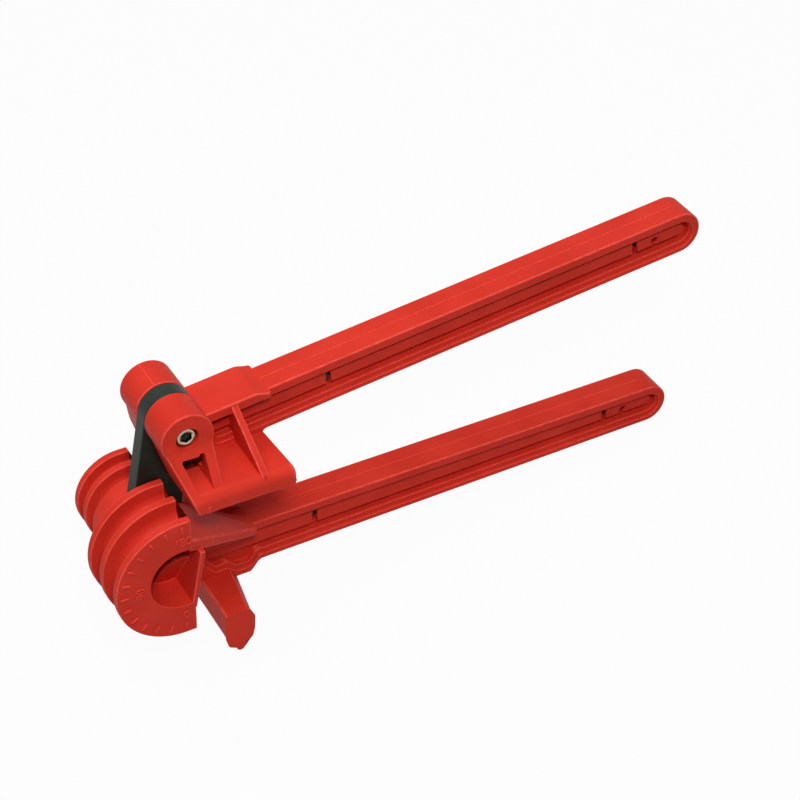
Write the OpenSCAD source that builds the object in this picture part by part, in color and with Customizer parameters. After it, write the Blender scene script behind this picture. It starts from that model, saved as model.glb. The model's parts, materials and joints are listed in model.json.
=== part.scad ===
// Two-lever hand tube bender with a half-round former for four tube sizes.
// The lower lever carries the former, the tube hook and a handle; a link swings on the former's
// centre and carries the upper lever, whose shoe wipes the tube round the former.
// Pieces are drawn in the lower lever's own frame: X along its handle, Y along the former's axis
// from the near face, Z up, with zero on the former's axis. placed() then stands the closed tool
// on its hook and handle tip, with the origin under the middle of the whole tool.

/* [Former] */
// Bend radius of the two wide grooves, to the tube's centre line
near_bend_r = 23.8; // [20:0.1:32]
// Bend radius of the two narrow grooves, to the tube's centre line
far_bend_r = 15.9; // [14:0.1:18]
// Outside diameter of the tube for the first groove
tube_a = 9.53; // [8:0.01:10]
// Outside diameter of the tube for the second groove
tube_b = 7.94; // [6:0.01:9]
// Outside diameter of the tube for the third groove
tube_c = 6.35; // [5:0.01:7]
// Outside diameter of the tube for the fourth groove
tube_d = 4.76; // [3:0.01:6]
// Room round a tube in its groove
groove_gap = 0.1; // [0.05:0.01:0.3]
// Width of each rim between the wide grooves
near_rim_w = 3.5; // [2.5:0.1:5]
// Width of each rim beside the narrow grooves
far_rim_w = 3.2; // [2:0.1:4.5]
// Height of the wide grooves' rims over the tube's centre line
near_rim_rise = 4.4; // [4:0.1:6]
// Height of the narrow grooves' rims over the tube's centre line
far_rim_rise = 3.5; // [3:0.1:4.5]
// Plain band of the far cheek beside the link
far_band_w = 8.4; // [6:0.1:12]
// Distance that the grooves run past the centre at the top
groove_end_top = 4.1; // [2:0.1:6]
// Distance that the grooves run past the centre at the bottom
groove_end_bottom = 4.6; // [2:0.1:6]
// Radius of the round pocket in the near face
pocket_r = 13.9; // [11:0.1:15]
// Depth of that pocket
pocket_depth = 15.2; // [10:0.1:18]
// Thickness of the leaning rib that closes the pocket
rib_t = 2.2; // [1.5:0.1:3]
// Distance of that rib from the former's axis
rib_x = 6.7; // [6.4:0.1:8]
// Thickness of the sloped roof between the former and the handle
roof_t = 5.9; // [3:0.1:7]
// Length of a degree mark
mark_len = 3.6; // [2:0.1:5]
// Width of a degree mark
mark_w = 0.9; // [0.5:0.1:1.5]
// Height of the raised marks over the near face
mark_h = 0.5; // [0.3:0.05:0.8]
// Gap from the marks to the edge of the near face
mark_edge = 1.7; // [1:0.1:3]
// Degrees between marks
mark_step = 15; // [10, 15, 30]

/* [Hook] */
// Left side of the hook from the former's axis
hook_x = 17.4; // [15:0.1:20]
// Width of the hook's top
hook_top_w = 9.6; // [8:0.1:14]
// Depth of the hook below the tube
hook_depth = 16.4; // [12:0.1:20]
// Height of the foot rib under the hook
foot_h = 3.4; // [2:0.1:5]
// Width of the foot rib
foot_w = 3.2; // [2.4:0.1:5]
// Bulge of the hook's right side
hook_bulge = 1.6; // [0.5:0.1:3]

/* [Link] */
// Distance between the link's two pivots
link_len = 57.3; // [52:0.1:64]
// Thickness of the link
link_t = 7; // [5:0.1:9]
// Half the width of the link
link_half_w = 10.6; // [9.5:0.1:12]
// Lean of the closed link from upright
link_lean = 9.9; // [6:0.1:14]
// Gap between the link and what it swings beside
link_gap = 0.3; // [0.2:0.05:0.6]

/* [Pivots] */
// Shank diameter of the centre pivot bolt
centre_bolt_d = 6; // [5:0.5:6.5]
// Shank diameter of the upper pivot bolt
upper_bolt_d = 5; // [4:0.5:6]
// Wall of the bushes in the link
bush_wall = 1.5; // [1:0.1:2]
// Radial running clearance between a bush and its bolt
run_gap = 0.05; // [0.02:0.01:0.09]
// Radial room round a bolt in its lever
bolt_gap = 0.1; // [0.05:0.01:0.3]
// Radial room round a bolt head, nut or washer in its recess
recess_gap = 0.3; // [0.2:0.05:0.6]
// Thickness of the washers
washer_t = 1.2; // [0.8:0.1:2]

/* [Upper lever] */
// Radius of the pivot bosses
boss_r = 10.9; // [10:0.1:13]
// Length of each pivot boss
boss_len = 15.6; // [12:0.1:18]
// Gap between the shoe and the former's rims
shoe_gap = 0.4; // [0.3:0.05:1]
// Start of the shoe along the lever
shoe_x = 7.7; // [6.5:0.1:9]
// Length of the shoe
shoe_len = 41.8; // [36:0.1:50]
// Height of the shoe's edge
shoe_lip_h = 7.8; // [6:0.1:10]
// Rise of the shoe's top from its edge to the lever
shoe_rise = 1.8; // [1:0.1:3]
// Shortening of the shoe from its edge to the lever
shoe_draft = 2.4; // [0.5:0.1:4]
// Thickness of the shoe's third gusset
gusset_t = 3; // [2:0.1:5]
// Place of the third gusset along the shoe
gusset_x = 28; // [24:0.5:32]
// Width of the front leg between boss and shoe
leg_w = 4.4; // [3:0.1:6]
// Narrowing of the clevis from boss to shoe at its back leg
leg_taper = 2.4; // [0:0.1:4]
// Right-hand side of the window between the legs, from the pivot
window_side = 5.9; // [3:0.1:7]
// Drop of the window's top below the pivot
window_drop = 7.5; // [6:0.1:9]
// Thickness of the clevis wall behind the window
clevis_t = 3.2; // [2:0.1:5]
// Rounding of the shoe's edge
lip_round = 3; // [1:0.1:4]

/* [Handles] */
// Width of both handles
handle_w = 15; // [12:0.1:17]
// Thickness of the web between a handle's recesses
web_t = 9; // [6:0.1:10]
// Height of a handle's top flange at its edge
flange_top_h = 3.9; // [2.5:0.1:5]
// Height of a handle's bottom flange at its edge
flange_bottom_h = 3; // [2:0.1:4]
// Height that the bottom flange gains towards the web
flange_slope = 2; // [1:0.1:3]
// Height of the lower handle at the head
lower_head_h = 20.8; // [18.5:0.1:23]
// Height of the lower handle at its tip
lower_tip_h = 18.2; // [16:0.1:20]
// Drop of the lower handle's top below the former's axis
lower_drop = 7.7; // [4:0.1:10]
// End of the lower handle from the former's axis
lower_end_x = 242.5; // [180:0.5:300]
// Height of the upper handle
upper_h = 18.9; // [17:0.1:21]
// Splay of the upper handle from the lower one
splay = 6.6; // [3:0.1:9]
// Height of the upper handle's top over the former's axis, above the end of the shoe
upper_top_z = 58.1; // [55:0.1:62]
// End of the upper handle from the former's axis
upper_end_x = 250; // [190:0.5:310]
// Length of the head of the lower handle, from the former's axis
head_len = 44; // [42:0.5:52]
// Depth of the belly under that head
belly_drop = 4.6; // [3:0.1:6]
// Height that the head cap of the upper lever stands over its handle
cap_rise = 2; // [1:0.1:3]
// Thickness of that cap
cap_t = 4.4; // [3:0.1:6]
// Width that the head cap stands out on each side
cap_side = 2.6; // [1.5:0.1:4]
// Thickness of the steel core bars
core_t = 3; // [2:0.1:3.5]
// Height of the steel core bars
core_h = 7; // [5:0.1:8]
// Width of the windows that show the core
core_window_w = 2.2; // [1.5:0.1:4]
// Distance of the inner core window from a handle's head
core_window_start = 26.5; // [18:0.5:40]
// Distance of the outer core window from a handle's end
core_window_end = 30.5; // [26:0.5:40]
// Diameter of the hanging hole in each handle
hang_d = 3; // [2:0.1:4]
// Distance of the hanging hole from a handle's end
hang_end = 20.5; // [17:0.5:24]

/* [Hidden] */
$fn = 64;
far = 400;
bite = 0.5;
plastic_red = [0.82, 0.13, 0.09];
link_black = [0.07, 0.07, 0.06];
steel = [0.72, 0.72, 0.7];
core_steel = [0.5, 0.52, 0.5];
bronze = [0.66, 0.48, 0.26];

// Former, across its width
groove_a = tube_a + 2 * groove_gap;
groove_b = tube_b + 2 * groove_gap;
groove_c = tube_c + 2 * groove_gap;
groove_d = tube_d + 2 * groove_gap;
near_rim_r = near_bend_r + near_rim_rise;
far_rim_r = far_bend_r + far_rim_rise;
groove_a_y = near_rim_w + groove_a / 2;
groove_b_y = 2 * near_rim_w + groove_a + groove_b / 2;
slot_y0 = 3 * near_rim_w + groove_a + groove_b;
slot_y1 = slot_y0 + link_t + 2 * link_gap;
groove_c_y = slot_y1 + far_band_w + groove_c / 2;
groove_d_y = groove_c_y + groove_c / 2 + far_rim_w + groove_d / 2;
former_w = groove_d_y + groove_d / 2 + far_rim_w;
mid_y = (slot_y0 + slot_y1) / 2;
// Highest level beside each cheek at which a tube still leaves its groove straight
near_exit_z = near_bend_r - groove_a / 2 - bite;
far_exit_z = far_bend_r - groove_c / 2 - bite;

// Link and its slot
slot_r = link_half_w + 2 * link_gap;
link_y0 = slot_y0 + link_gap;
link_y1 = slot_y1 - link_gap;
pivot = link_len * [sin(link_lean), cos(link_lean)];
function bush_r(d) = d / 2 + run_gap + bush_wall;

// Lower handle
handle_y0 = mid_y - handle_w / 2;
handle_y1 = mid_y + handle_w / 2;
handle_in = slot_y0 - handle_y0;
recess_depth = (handle_w - web_t) / 2;
lower_tip_r = lower_tip_h / 2;
lower_tip = [lower_end_x - lower_tip_r, -lower_drop - lower_tip_r];
function lower_low(x) = -lower_drop - lower_head_h + (lower_head_h - lower_tip_h) * x / lower_tip[0];
recess_x = slot_r + 8;
cap_x = head_len - 2.5;
cap_y0 = handle_y0 - cap_side;
cap_y1 = handle_y1 + cap_side;
belly_run = 4;
head_end = head_len + belly_run;
belly_z = lower_low(head_len) - belly_drop;

// Hook
hook_z = -(near_bend_r + tube_a / 2);
far_hook_z = -(far_bend_r + tube_c / 2);
hook_x1 = hook_x + hook_top_w;
hook_low_z = hook_z - hook_depth;
foot = [hook_x + hook_top_w * 0.55, hook_low_z - foot_h];

// Shoe, bosses and upper handle
near_shoe_z = near_rim_r + shoe_gap;
far_shoe_z = far_rim_r + shoe_gap;
lip_z = near_shoe_z + shoe_lip_h;
boss_y0 = slot_y0 - boss_len;
boss_y1 = slot_y1 + boss_len;
shoe_end_x = shoe_x + shoe_len;
index_x = shoe_x + 4.2;
window_z = pivot[1] - window_drop;
// Front edge of the clevis at a height, on a line from the boss's side to the shoe's start
function leg_x(z) =
    pivot[0] - boss_r + (shoe_x - pivot[0] + boss_r) * (pivot[1] - z) / (pivot[1] - near_shoe_z);
upper_tip_r = upper_h / 2;
upper_len = (upper_end_x - upper_tip_r * (1 + sin(splay)) - shoe_end_x) / cos(splay) + upper_tip_r;
upper_tip = [
    shoe_end_x + (upper_len - upper_tip_r) * cos(splay) + upper_tip_r * sin(splay),
    upper_top_z + (upper_len - upper_tip_r) * sin(splay) - upper_tip_r * cos(splay),
];
cap_len = shoe_end_x - pivot[0] - boss_r + 3;
upper_recess_x = 6 - cap_len;
cap_low_z = upper_top_z + cap_rise - cap_t - (shoe_len - gusset_x) * tan(splay) + bite;

// Steel cores in the handles' webs
core_start = 12;
core_end = 25;
core_drop = 1;
function web_mid(h) = -(flange_top_h + h - flange_bottom_h - flange_slope) / 2 - core_drop;
lower_core_z = web_mid(lower_tip_h) - lower_drop;
upper_core_z = web_mid(upper_h);

// Bolts: head and nut sizes follow the shank as on standard socket screws
function head_d(d) = 1.5 * d + 1;
function head_h(d) = d;
function key_af(d) = 0.8 * d;
function nut_af(d) = 1.5 * d + 0.8;
function nut_h(d) = 0.95 * d;
function across_corners(af) = af / cos(30);
function washer_d(d) = 2 * d;
bolt_tail = 1;
centre_seat_y = former_w - bite - head_h(centre_bolt_d);
centre_washer_y = centre_seat_y - washer_t;
centre_nut_y = slot_y0 - link_gap - nut_h(centre_bolt_d);
centre_end_y = centre_nut_y - bolt_tail;
upper_seat_y = boss_y0 + head_h(upper_bolt_d) + bite;
upper_nut_y = boss_y1 - bite - nut_h(upper_bolt_d);
upper_washer_y = upper_nut_y - washer_t;

// Stance: the tool leans until its foot rib and the lower handle's tip share one level
stance = [lower_tip[0] - foot[0], lower_tip[1] - foot[1]];
tilt = atan2(stance[1], stance[0]) - asin(lower_tip_r / norm(stance));
function stand(p) = [
    (p[0] - foot[0]) * cos(tilt) + (p[1] - foot[1]) * sin(tilt),
    (p[1] - foot[1]) * cos(tilt) - (p[0] - foot[0]) * sin(tilt),
];
shift_x = -(stand([0, 0])[0] - near_rim_r + stand(upper_tip)[0] + upper_tip_r) / 2;
width_mid = (former_w - mark_h) / 2;
function row(p, y) = [stand(p)[0] + shift_x, y - width_mid, stand(p)[1]];
echo(tilt = tilt, centre = row([0, 0], mid_y), pivot = row(pivot, mid_y));

module placed() {
    translate([shift_x, -width_mid, 0])
        rotate([0, tilt, 0])
            translate([-foot[0], 0, -foot[1]])
                children();
}

// A flat outline in X and Z, made solid from y0 to y1
module across(y0, y1) {
    translate([0, y1, 0]) rotate([90, 0, 0]) linear_extrude(y1 - y0) children();
}

// An outline in Y and Z, made solid from x0 to x1
module along(x0, x1) {
    translate([x0, 0, 0]) rotate([90, 0, 90]) linear_extrude(x1 - x0) children();
}

module rod(r, y0, y1, at = [0, 0]) {
    translate([at[0], y0, at[1]]) rotate([-90, 0, 0]) cylinder(r = r, h = y1 - y0);
}

module hex_rod(af, y0, y1, at = [0, 0]) {
    translate([at[0], y0, at[1]])
        rotate([-90, 0, 0]) cylinder(d = across_corners(af), h = y1 - y0, $fn = 6);
}

module ring(r_out, r_in, y0, y1, at = [0, 0]) {
    difference() {
        rod(r_out, y0, y1, at);
        rod(r_in, y0 - 1, y1 + 1, at);
    }
}

function arc(c, r, a0, a1, n = 16) =
    [for (i = [0:n]) c + r * [cos(a0 + (a1 - a0) * i / n), sin(a0 + (a1 - a0) * i / n)]];

// Everything to the left of the closed link's right-hand edge
module link_side(z_low) {
    rotate(-link_lean) translate([-far, z_low]) square([far + slot_r, far]);
}

// The part of the tool between two planes across the former's axis
module slab(y0, y1) {
    translate([-far, y0, -far]) cube([2 * far, y1 - y0, 2 * far]);
}

// The part of the lower lever that belongs to the former, up to the slot's end
module former_side() {
    across(-far, far) link_side(-far / 2);
}

// Handle shape in its own frame: tip at length, top at zero, with a round end
module handle_outline(x0, length, start_h, tip_h, inset_top = 0, inset_bottom = 0) {
    r = tip_h / 2;
    end_r = r - (inset_top + inset_bottom) / 2;
    end_z = -r - (inset_top - inset_bottom) / 2;
    polygon(concat(
        [[x0, -inset_top], [x0, -start_h + inset_bottom]],
        arc([length - r, end_z], end_r, -90, 90)
    ));
}

// The recess on one side of a handle, from x0, with a bottom flange that slopes up to the web
module handle_recess(x0, length, start_h, tip_h) {
    run = length - tip_h / 2 - x0;
    across(-1, recess_depth)
        handle_outline(x0, length, start_h, tip_h, flange_top_h, flange_bottom_h + flange_slope);
    translate([x0, 0, -start_h + flange_bottom_h])
        rotate([0, -atan2(start_h - tip_h, run), 0])
            along(0, run) polygon([
                [-1, -flange_slope / recess_depth], [recess_depth, flange_slope],
                [recess_depth, flange_slope + 1], [-1, flange_slope + 1],
            ]);
}

module both_sides() {
    translate([0, handle_y0, 0]) children();
    translate([0, handle_y1, 0]) mirror([0, 1, 0]) children();
}

// Cheeks of the former

module groove(bend_r, rise, tube_room, y) {
    translate([bend_r, y]) circle(d = tube_room);
    translate([bend_r, y - tube_room / 2]) square([rise + 1, tube_room]);
}

module cheek_turn() {
    rotate([-90, 0, 0]) rotate_extrude($fn = 96) children();
}

module groove_ends() {
    translate([groove_end_top, -1, 0]) cube([far, far, far]);
    translate([groove_end_bottom, -1, -far]) cube([far, far, far + bite]);
}

module near_cheek() {
    difference() {
        cheek_turn() difference() {
            square([near_rim_r, slot_y0]);
            groove(near_bend_r, near_rim_rise, groove_a, groove_a_y);
            groove(near_bend_r, near_rim_rise, groove_b, groove_b_y);
        }
        groove_ends();
        rod(pocket_r, -1, pocket_depth);
    }
}

module far_cheek() {
    difference() {
        cheek_turn() difference() {
            translate([0, slot_y1]) square([far_rim_r, former_w - slot_y1]);
            groove(far_bend_r, far_rim_rise, groove_c, groove_c_y);
            groove(far_bend_r, far_rim_rise, groove_d, groove_d_y);
        }
        groove_ends();
    }
}

// Lower lever: one moulding, drawn as eight solids that meet face to face

module lower_handle_frame() {
    translate([0, 0, -lower_drop]) children();
}

// Sloped roof from a cheek's groove ends down to the head of the handle
module roof(y0, y1, top_z, root_z, side_root_y, side_head_y) {
    outer_y = side_root_y < mid_y ? -far : far;
    difference() {
        across(y0, y1) polygon([
            [groove_end_top - 1, root_z], [cap_x, -lower_drop - flange_top_h],
            [cap_x, -lower_drop], [groove_end_top - 1, top_z],
        ]);
        translate([0, 0, -far / 2]) linear_extrude(far) polygon([
            [groove_end_top - 1, side_root_y], [cap_x + 1, side_head_y],
            [cap_x + 1, outer_y], [groove_end_top - 1, outer_y],
        ]);
    }
}

module near_roof() {
    roof(0, slot_y0, near_exit_z, near_exit_z - roof_t, 0, cap_y0);
}

module far_roof() {
    roof(slot_y1, former_w, far_exit_z, far_exit_z - roof_t, former_w, cap_y1);
}

// Solid behind the pocket that holds the centre bolt, with the leaning rib in front of it
module near_core() {
    across(pocket_depth, slot_y0) rotate(-link_lean)
        translate([-pocket_r / 2, -pocket_r - bite])
            square([pocket_r / 2 + rib_x + rib_t / 2, 2 * pocket_r + bite]);
    across(0, slot_y0) rotate(-link_lean)
        translate([rib_x - rib_t / 2, -pocket_r - 2]) square([rib_t, 2 * pocket_r + 2]);
}

module far_core() {
    across(slot_y1, groove_c_y - groove_c / 2)
        translate([0, -far_exit_z]) square([slot_r + 2, 2 * far_exit_z]);
}

module hook() {
    across(0, former_w) polygon([
        [hook_x, hook_z], [hook_x1, hook_z],
        [hook_x1 + hook_bulge, hook_z - hook_depth * 0.42],
        [hook_x1 + hook_bulge / 2, hook_z - hook_depth * 0.74],
        [foot[0] + foot_w / 2, hook_low_z], foot, [foot[0] - foot_w / 2, hook_low_z],
        [hook_x, hook_z - hook_depth * 0.74],
    ]);
}

module lower_grip(y0, y1) {
    lower_handle_frame() across(y0, y1) handle_outline(0, lower_end_x, lower_head_h, lower_tip_h);
}

module lower_cap() {
    lower_handle_frame() across(cap_y0, cap_y1)
        translate([recess_x, -flange_top_h]) square([cap_x - recess_x, flange_top_h]);
}

module belly() {
    across(handle_y0 - bite, handle_y1 + bite) polygon([
        [hook_x, -lower_drop - flange_top_h], [head_end, lower_low(head_len) + bite],
        [head_len, lower_low(head_len)], [head_len - belly_run, belly_z],
        [hook_x1 + 1, belly_z], [hook_x1 + 1, hook_z - hook_depth / 2], [hook_x, hook_z - hook_depth / 2],
    ]);
}

module belly_recess() {
    across(-1, recess_depth) polygon([
        [recess_x, lower_low(recess_x) + flange_bottom_h + flange_slope + 1],
        [head_len, lower_low(head_len) + flange_bottom_h + flange_slope + 1],
        [head_len - belly_run, belly_z + flange_bottom_h + flange_slope],
        [recess_x, belly_z + flange_bottom_h + flange_slope],
    ]);
}

module degree_marks() {
    for (a = [0:mark_step:180])
        rotate([0, a, 0])
            translate([-mark_w / 2, -mark_h, -near_rim_r + mark_edge])
                cube([mark_w, mark_h + bite, mark_len]);
}

module core_windows(places, z) {
    window_h = core_h - 1;
    for (x = places)
        translate([x - core_window_w / 2, handle_y0, z - window_h / 2])
            cube([core_window_w, handle_w, window_h]);
}

module centre_bores() {
    rod(centre_bolt_d / 2 + bolt_gap, centre_end_y - bolt_tail, former_w + 1);
    rod(washer_d(centre_bolt_d) / 2 + recess_gap, centre_washer_y, former_w + 1);
    hex_rod(nut_af(centre_bolt_d) + 2 * bolt_gap, centre_nut_y, slot_y0 + 1);
}

module near_former() {
    color(plastic_red) placed() {
        difference() {
            intersection() {
                union() {
                    near_cheek();
                    near_core();
                    near_roof();
                    lower_grip(handle_y0, slot_y0);
                }
                former_side();
            }
            centre_bores();
        }
        degree_marks();
    }
}

module far_former() {
    color(plastic_red) placed() difference() {
        intersection() {
            union() {
                far_cheek();
                far_core();
                far_roof();
                lower_grip(slot_y1, handle_y1);
            }
            former_side();
        }
        centre_bores();
    }
}

module near_bridge() {
    color(plastic_red) placed() difference() {
        intersection() {
            union() {
                near_roof();
                lower_cap();
            }
            slab(-far, handle_y0);
        }
        former_side();
    }
}

module far_bridge() {
    color(plastic_red) placed() difference() {
        intersection() {
            union() {
                far_roof();
                far_core();
                lower_cap();
            }
            slab(handle_y1, far);
        }
        former_side();
    }
}

module near_hook() {
    color(plastic_red) placed() intersection() {
        hook();
        slab(-far, handle_y0);
    }
}

// The far grooves are shallower, so the hook stands higher under them
module far_hook() {
    color(plastic_red) placed() intersection() {
        union() {
            hook();
            across(0, former_w)
                translate([hook_x, hook_z - 1]) square([hook_top_w, far_hook_z - hook_z + 1]);
        }
        slab(handle_y1, far);
    }
}

module lower_recesses() {
    both_sides() {
        lower_handle_frame()
            handle_recess(recess_x, lower_end_x, -lower_drop - lower_low(recess_x), lower_tip_h);
        belly_recess();
    }
}

// The part of the lower lever up to the end of its head
module head_side_of_handle() {
    translate([-far, -far, -far]) cube([far + head_end, 2 * far, 2 * far]);
}

module lower_head() {
    color(plastic_red) placed() difference() {
        intersection() {
            union() {
                difference() {
                    union() {
                        lower_grip(handle_y0 - bite, handle_y1 + bite);
                        belly();
                        lower_cap();
                    }
                    lower_recesses();
                }
                near_roof();
                far_roof();
                far_core();
                hook();
            }
            slab(handle_y0, handle_y1);
            head_side_of_handle();
        }
        former_side();
        across(slot_y0, slot_y1) translate([-far, -far]) square([far + slot_r, far + bite]);
    }
}

module lower_handle() {
    color(plastic_red) placed() difference() {
        lower_grip(handle_y0, handle_y1);
        lower_recesses();
        head_side_of_handle();
        lower_core();
        core_windows([head_len + core_window_start, lower_end_x - core_window_end], lower_core_z);
        rod(hang_d / 2, 0, former_w, [lower_end_x - hang_end, lower_core_z]);
    }
}

module core_bar(x0, x1) {
    across(mid_y - core_t / 2, mid_y + core_t / 2) translate([x0, -core_h / 2]) square([x1 - x0, core_h]);
}

module lower_core() {
    translate([0, 0, lower_core_z]) core_bar(head_len + core_start, lower_end_x - core_end);
}

module lower_handle_core() {
    color(core_steel) placed() lower_core();
}

// Pivot hardware

// Seat of the head at zero, shank along +Y
module socket_bolt(d, length) {
    difference() {
        union() {
            rod(head_d(d) / 2, -head_h(d), 0);
            rod(d / 2, -bite, length);
        }
        hex_rod(key_af(d), -head_h(d) - 1, -head_h(d) / 2);
    }
}

module hex_nut(d, y0, at) {
    difference() {
        hex_rod(nut_af(d), y0, y0 + nut_h(d), at);
        rod(d / 2, y0 - 1, y0 + nut_h(d) + 1, at);
    }
}

// The centre bolt goes in from the far side and ends in a nut held beside the slot
module centre_pivot_bolt() {
    color(steel) placed()
        translate([0, centre_seat_y, 0]) mirror([0, 1, 0])
            socket_bolt(centre_bolt_d, centre_seat_y - centre_end_y);
}

module centre_pivot_nut() {
    color(steel) placed() hex_nut(centre_bolt_d, centre_nut_y, [0, 0]);
}

module centre_pivot_washer() {
    color(steel) placed()
        ring(washer_d(centre_bolt_d) / 2, centre_bolt_d / 2 + bolt_gap, centre_washer_y, centre_seat_y);
}

module upper_pivot_bolt() {
    color(steel) placed()
        translate([pivot[0], upper_seat_y, pivot[1]])
            socket_bolt(upper_bolt_d, upper_nut_y + nut_h(upper_bolt_d) - upper_seat_y);
}

module upper_pivot_nut() {
    color(steel) placed() hex_nut(upper_bolt_d, upper_nut_y, pivot);
}

module upper_pivot_washer() {
    color(steel) placed()
        ring(washer_d(upper_bolt_d) / 2, upper_bolt_d / 2 + bolt_gap, upper_washer_y, upper_nut_y, pivot);
}

// Link

module link_plate() {
    color(link_black) placed() difference() {
        across(link_y0, link_y1) rotate(-link_lean)
            polygon(concat(
                arc([0, link_len], link_half_w, 0, 180, 24),
                arc([0, 0], link_half_w, 180, 360, 24)
            ));
        rod(bush_r(centre_bolt_d), link_y0 - 1, link_y1 + 1);
        rod(bush_r(upper_bolt_d), link_y0 - 1, link_y1 + 1, pivot);
    }
}

module lower_link_bush() {
    color(bronze) placed()
        ring(bush_r(centre_bolt_d), centre_bolt_d / 2 + run_gap, link_y0, link_y1);
}

module upper_link_bush() {
    color(bronze) placed()
        ring(bush_r(upper_bolt_d), upper_bolt_d / 2 + run_gap, link_y0, link_y1, pivot);
}

// Upper lever: one moulding of clevis bosses, shoe and handle, drawn as three solids

module upper_handle_frame() {
    translate([shoe_end_x, 0, upper_top_z]) rotate([0, -splay, 0]) children();
}

// A point of the upper handle's own frame
function upper_at(u, w) = [
    shoe_end_x + u * cos(splay) - w * sin(splay),
    upper_top_z + u * sin(splay) + w * cos(splay),
];

// Point of the upper handle's underside over a place along the shoe
function upper_low_at(x) = upper_at((x - shoe_end_x) / cos(splay) - upper_h * tan(splay), -upper_h);

// Handle and the solid under its head, in one outline
module upper_outline() {
    end_x = shoe_end_x - shoe_draft - bite;
    polygon(concat(
        [[pivot[0], near_shoe_z], [end_x, near_shoe_z], upper_low_at(end_x)],
        [for (p = arc([upper_len - upper_tip_r, -upper_tip_r], upper_tip_r, -90, 90)) upper_at(p[0], p[1])],
        [upper_at(-cap_len, 0), upper_at(-cap_len, -upper_h), upper_low_at(pivot[0])]
    ));
}

// One cheek of the clevis, from boss to shoe
module clevis_wall(shoe_z) {
    polygon([
        [pivot[0] - boss_r, pivot[1]], [leg_x(shoe_z), shoe_z],
        [pivot[0] + boss_r - leg_taper, shoe_z], [pivot[0] + boss_r, pivot[1]],
    ]);
}

module clevis_window() {
    polygon([
        [leg_x(window_z) + leg_w, window_z], [leg_x(lip_z) + leg_w, lip_z],
        [pivot[0] + window_side, lip_z], [pivot[0] + window_side, window_z],
    ]);
}

// Slope from a high inner point down into the shoe's edge, in Y and Z, with all that lies outside it
module outside_slope(y, z) {
    root_z = lip_z - 2 * bite;
    polygon([[y, far], [y, z], [lip_round, root_z], [-far, root_z], [-far, far]]);
}

module third_gusset() {
    lean_x = (cap_low_z - near_shoe_z) * tan(splay);
    polygon([
        [shoe_x + gusset_x, near_shoe_z], [shoe_x + gusset_x + gusset_t, near_shoe_z],
        [shoe_x + gusset_x + gusset_t - lean_x, cap_low_z], [shoe_x + gusset_x - lean_x, cap_low_z],
    ]);
}

// The near half of the head; the far half is its mirror image with a deeper shoe
module head_side(width, shoe_z) {
    inner_y = width - handle_in + 2 * bite;
    web_y = width - handle_in + recess_depth;
    difference() {
        union() {
            difference() {
                across(lip_round + bite, width) clevis_wall(shoe_z);
                along(-far, far) outside_slope(width - boss_len, pivot[1] - boss_r / 2);
            }
            rod(boss_r, width - boss_len, width, pivot);
        }
        across(-1, width - clevis_t) clevis_window();
    }
    difference() {
        across(lip_round + bite, web_y + bite) third_gusset();
        along(-far, far) outside_slope(inner_y, cap_low_z - bite);
    }
    intersection() {
        along(shoe_x, shoe_end_x) polygon(concat(
            [[width, lip_z + shoe_rise], [width, shoe_z], [0, shoe_z]],
            arc([lip_round, lip_z - lip_round], lip_round, 180, 90, 6),
            [[inner_y, lip_z + shoe_rise]]
        ));
        linear_extrude(far) polygon([
            [0, 0], [shoe_end_x, 0], [shoe_end_x - shoe_draft, inner_y],
            [shoe_end_x - shoe_draft, width], [0, width],
        ]);
    }
}

module far_head_side() {
    translate([0, former_w, 0]) mirror([0, 1, 0]) head_side(former_w - slot_y1, far_shoe_z);
}

module upper_cap() {
    upper_handle_frame() across(cap_y0, cap_y1) polygon([
        [-cap_len, cap_rise], [-2 * cap_rise, cap_rise], [0, 0],
        [0, cap_rise - cap_t], [-cap_len, cap_rise - cap_t],
    ]);
}

module upper_bores() {
    rod(upper_bolt_d / 2 + bolt_gap, 0, former_w, pivot);
    rod(head_d(upper_bolt_d) / 2 + recess_gap, boss_y0 - 1, upper_seat_y, pivot);
    rod(washer_d(upper_bolt_d) / 2 + recess_gap, upper_washer_y, boss_y1 + 1, pivot);
}

module near_shoe() {
    color(plastic_red) placed() {
        difference() {
            intersection() {
                union() {
                    head_side(slot_y0, near_shoe_z);
                    upper_cap();
                }
                slab(-far, handle_y0);
            }
            upper_bores();
        }
        translate([index_x - mark_w / 2, -mark_h, near_shoe_z]) cube([mark_w, mark_h + bite, mark_len]);
    }
}

module far_shoe() {
    color(plastic_red) placed() difference() {
        intersection() {
            union() {
                far_head_side();
                upper_cap();
            }
            slab(handle_y1, far);
        }
        upper_bores();
    }
}

module upper_handle() {
    color(plastic_red) placed() difference() {
        intersection() {
            union() {
                head_side(slot_y0, near_shoe_z);
                far_head_side();
                difference() {
                    union() {
                        across(handle_y0 - bite, handle_y1 + bite) upper_outline();
                        upper_cap();
                    }
                    upper_handle_frame() both_sides()
                        handle_recess(upper_recess_x, upper_len, upper_h, upper_h);
                    across(slot_y0, slot_y1) link_side(-far / 2);
                }
            }
            slab(handle_y0, handle_y1);
        }
        upper_bores();
        upper_handle_frame() {
            upper_core();
            core_windows([core_window_start, upper_len - core_window_end], upper_core_z);
            rod(hang_d / 2, 0, former_w, [upper_len - hang_end, upper_core_z]);
        }
    }
}

module upper_core() {
    translate([0, 0, upper_core_z]) core_bar(core_start, upper_len - core_end);
}

module upper_handle_core() {
    color(core_steel) placed() upper_handle_frame() upper_core();
}

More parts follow.
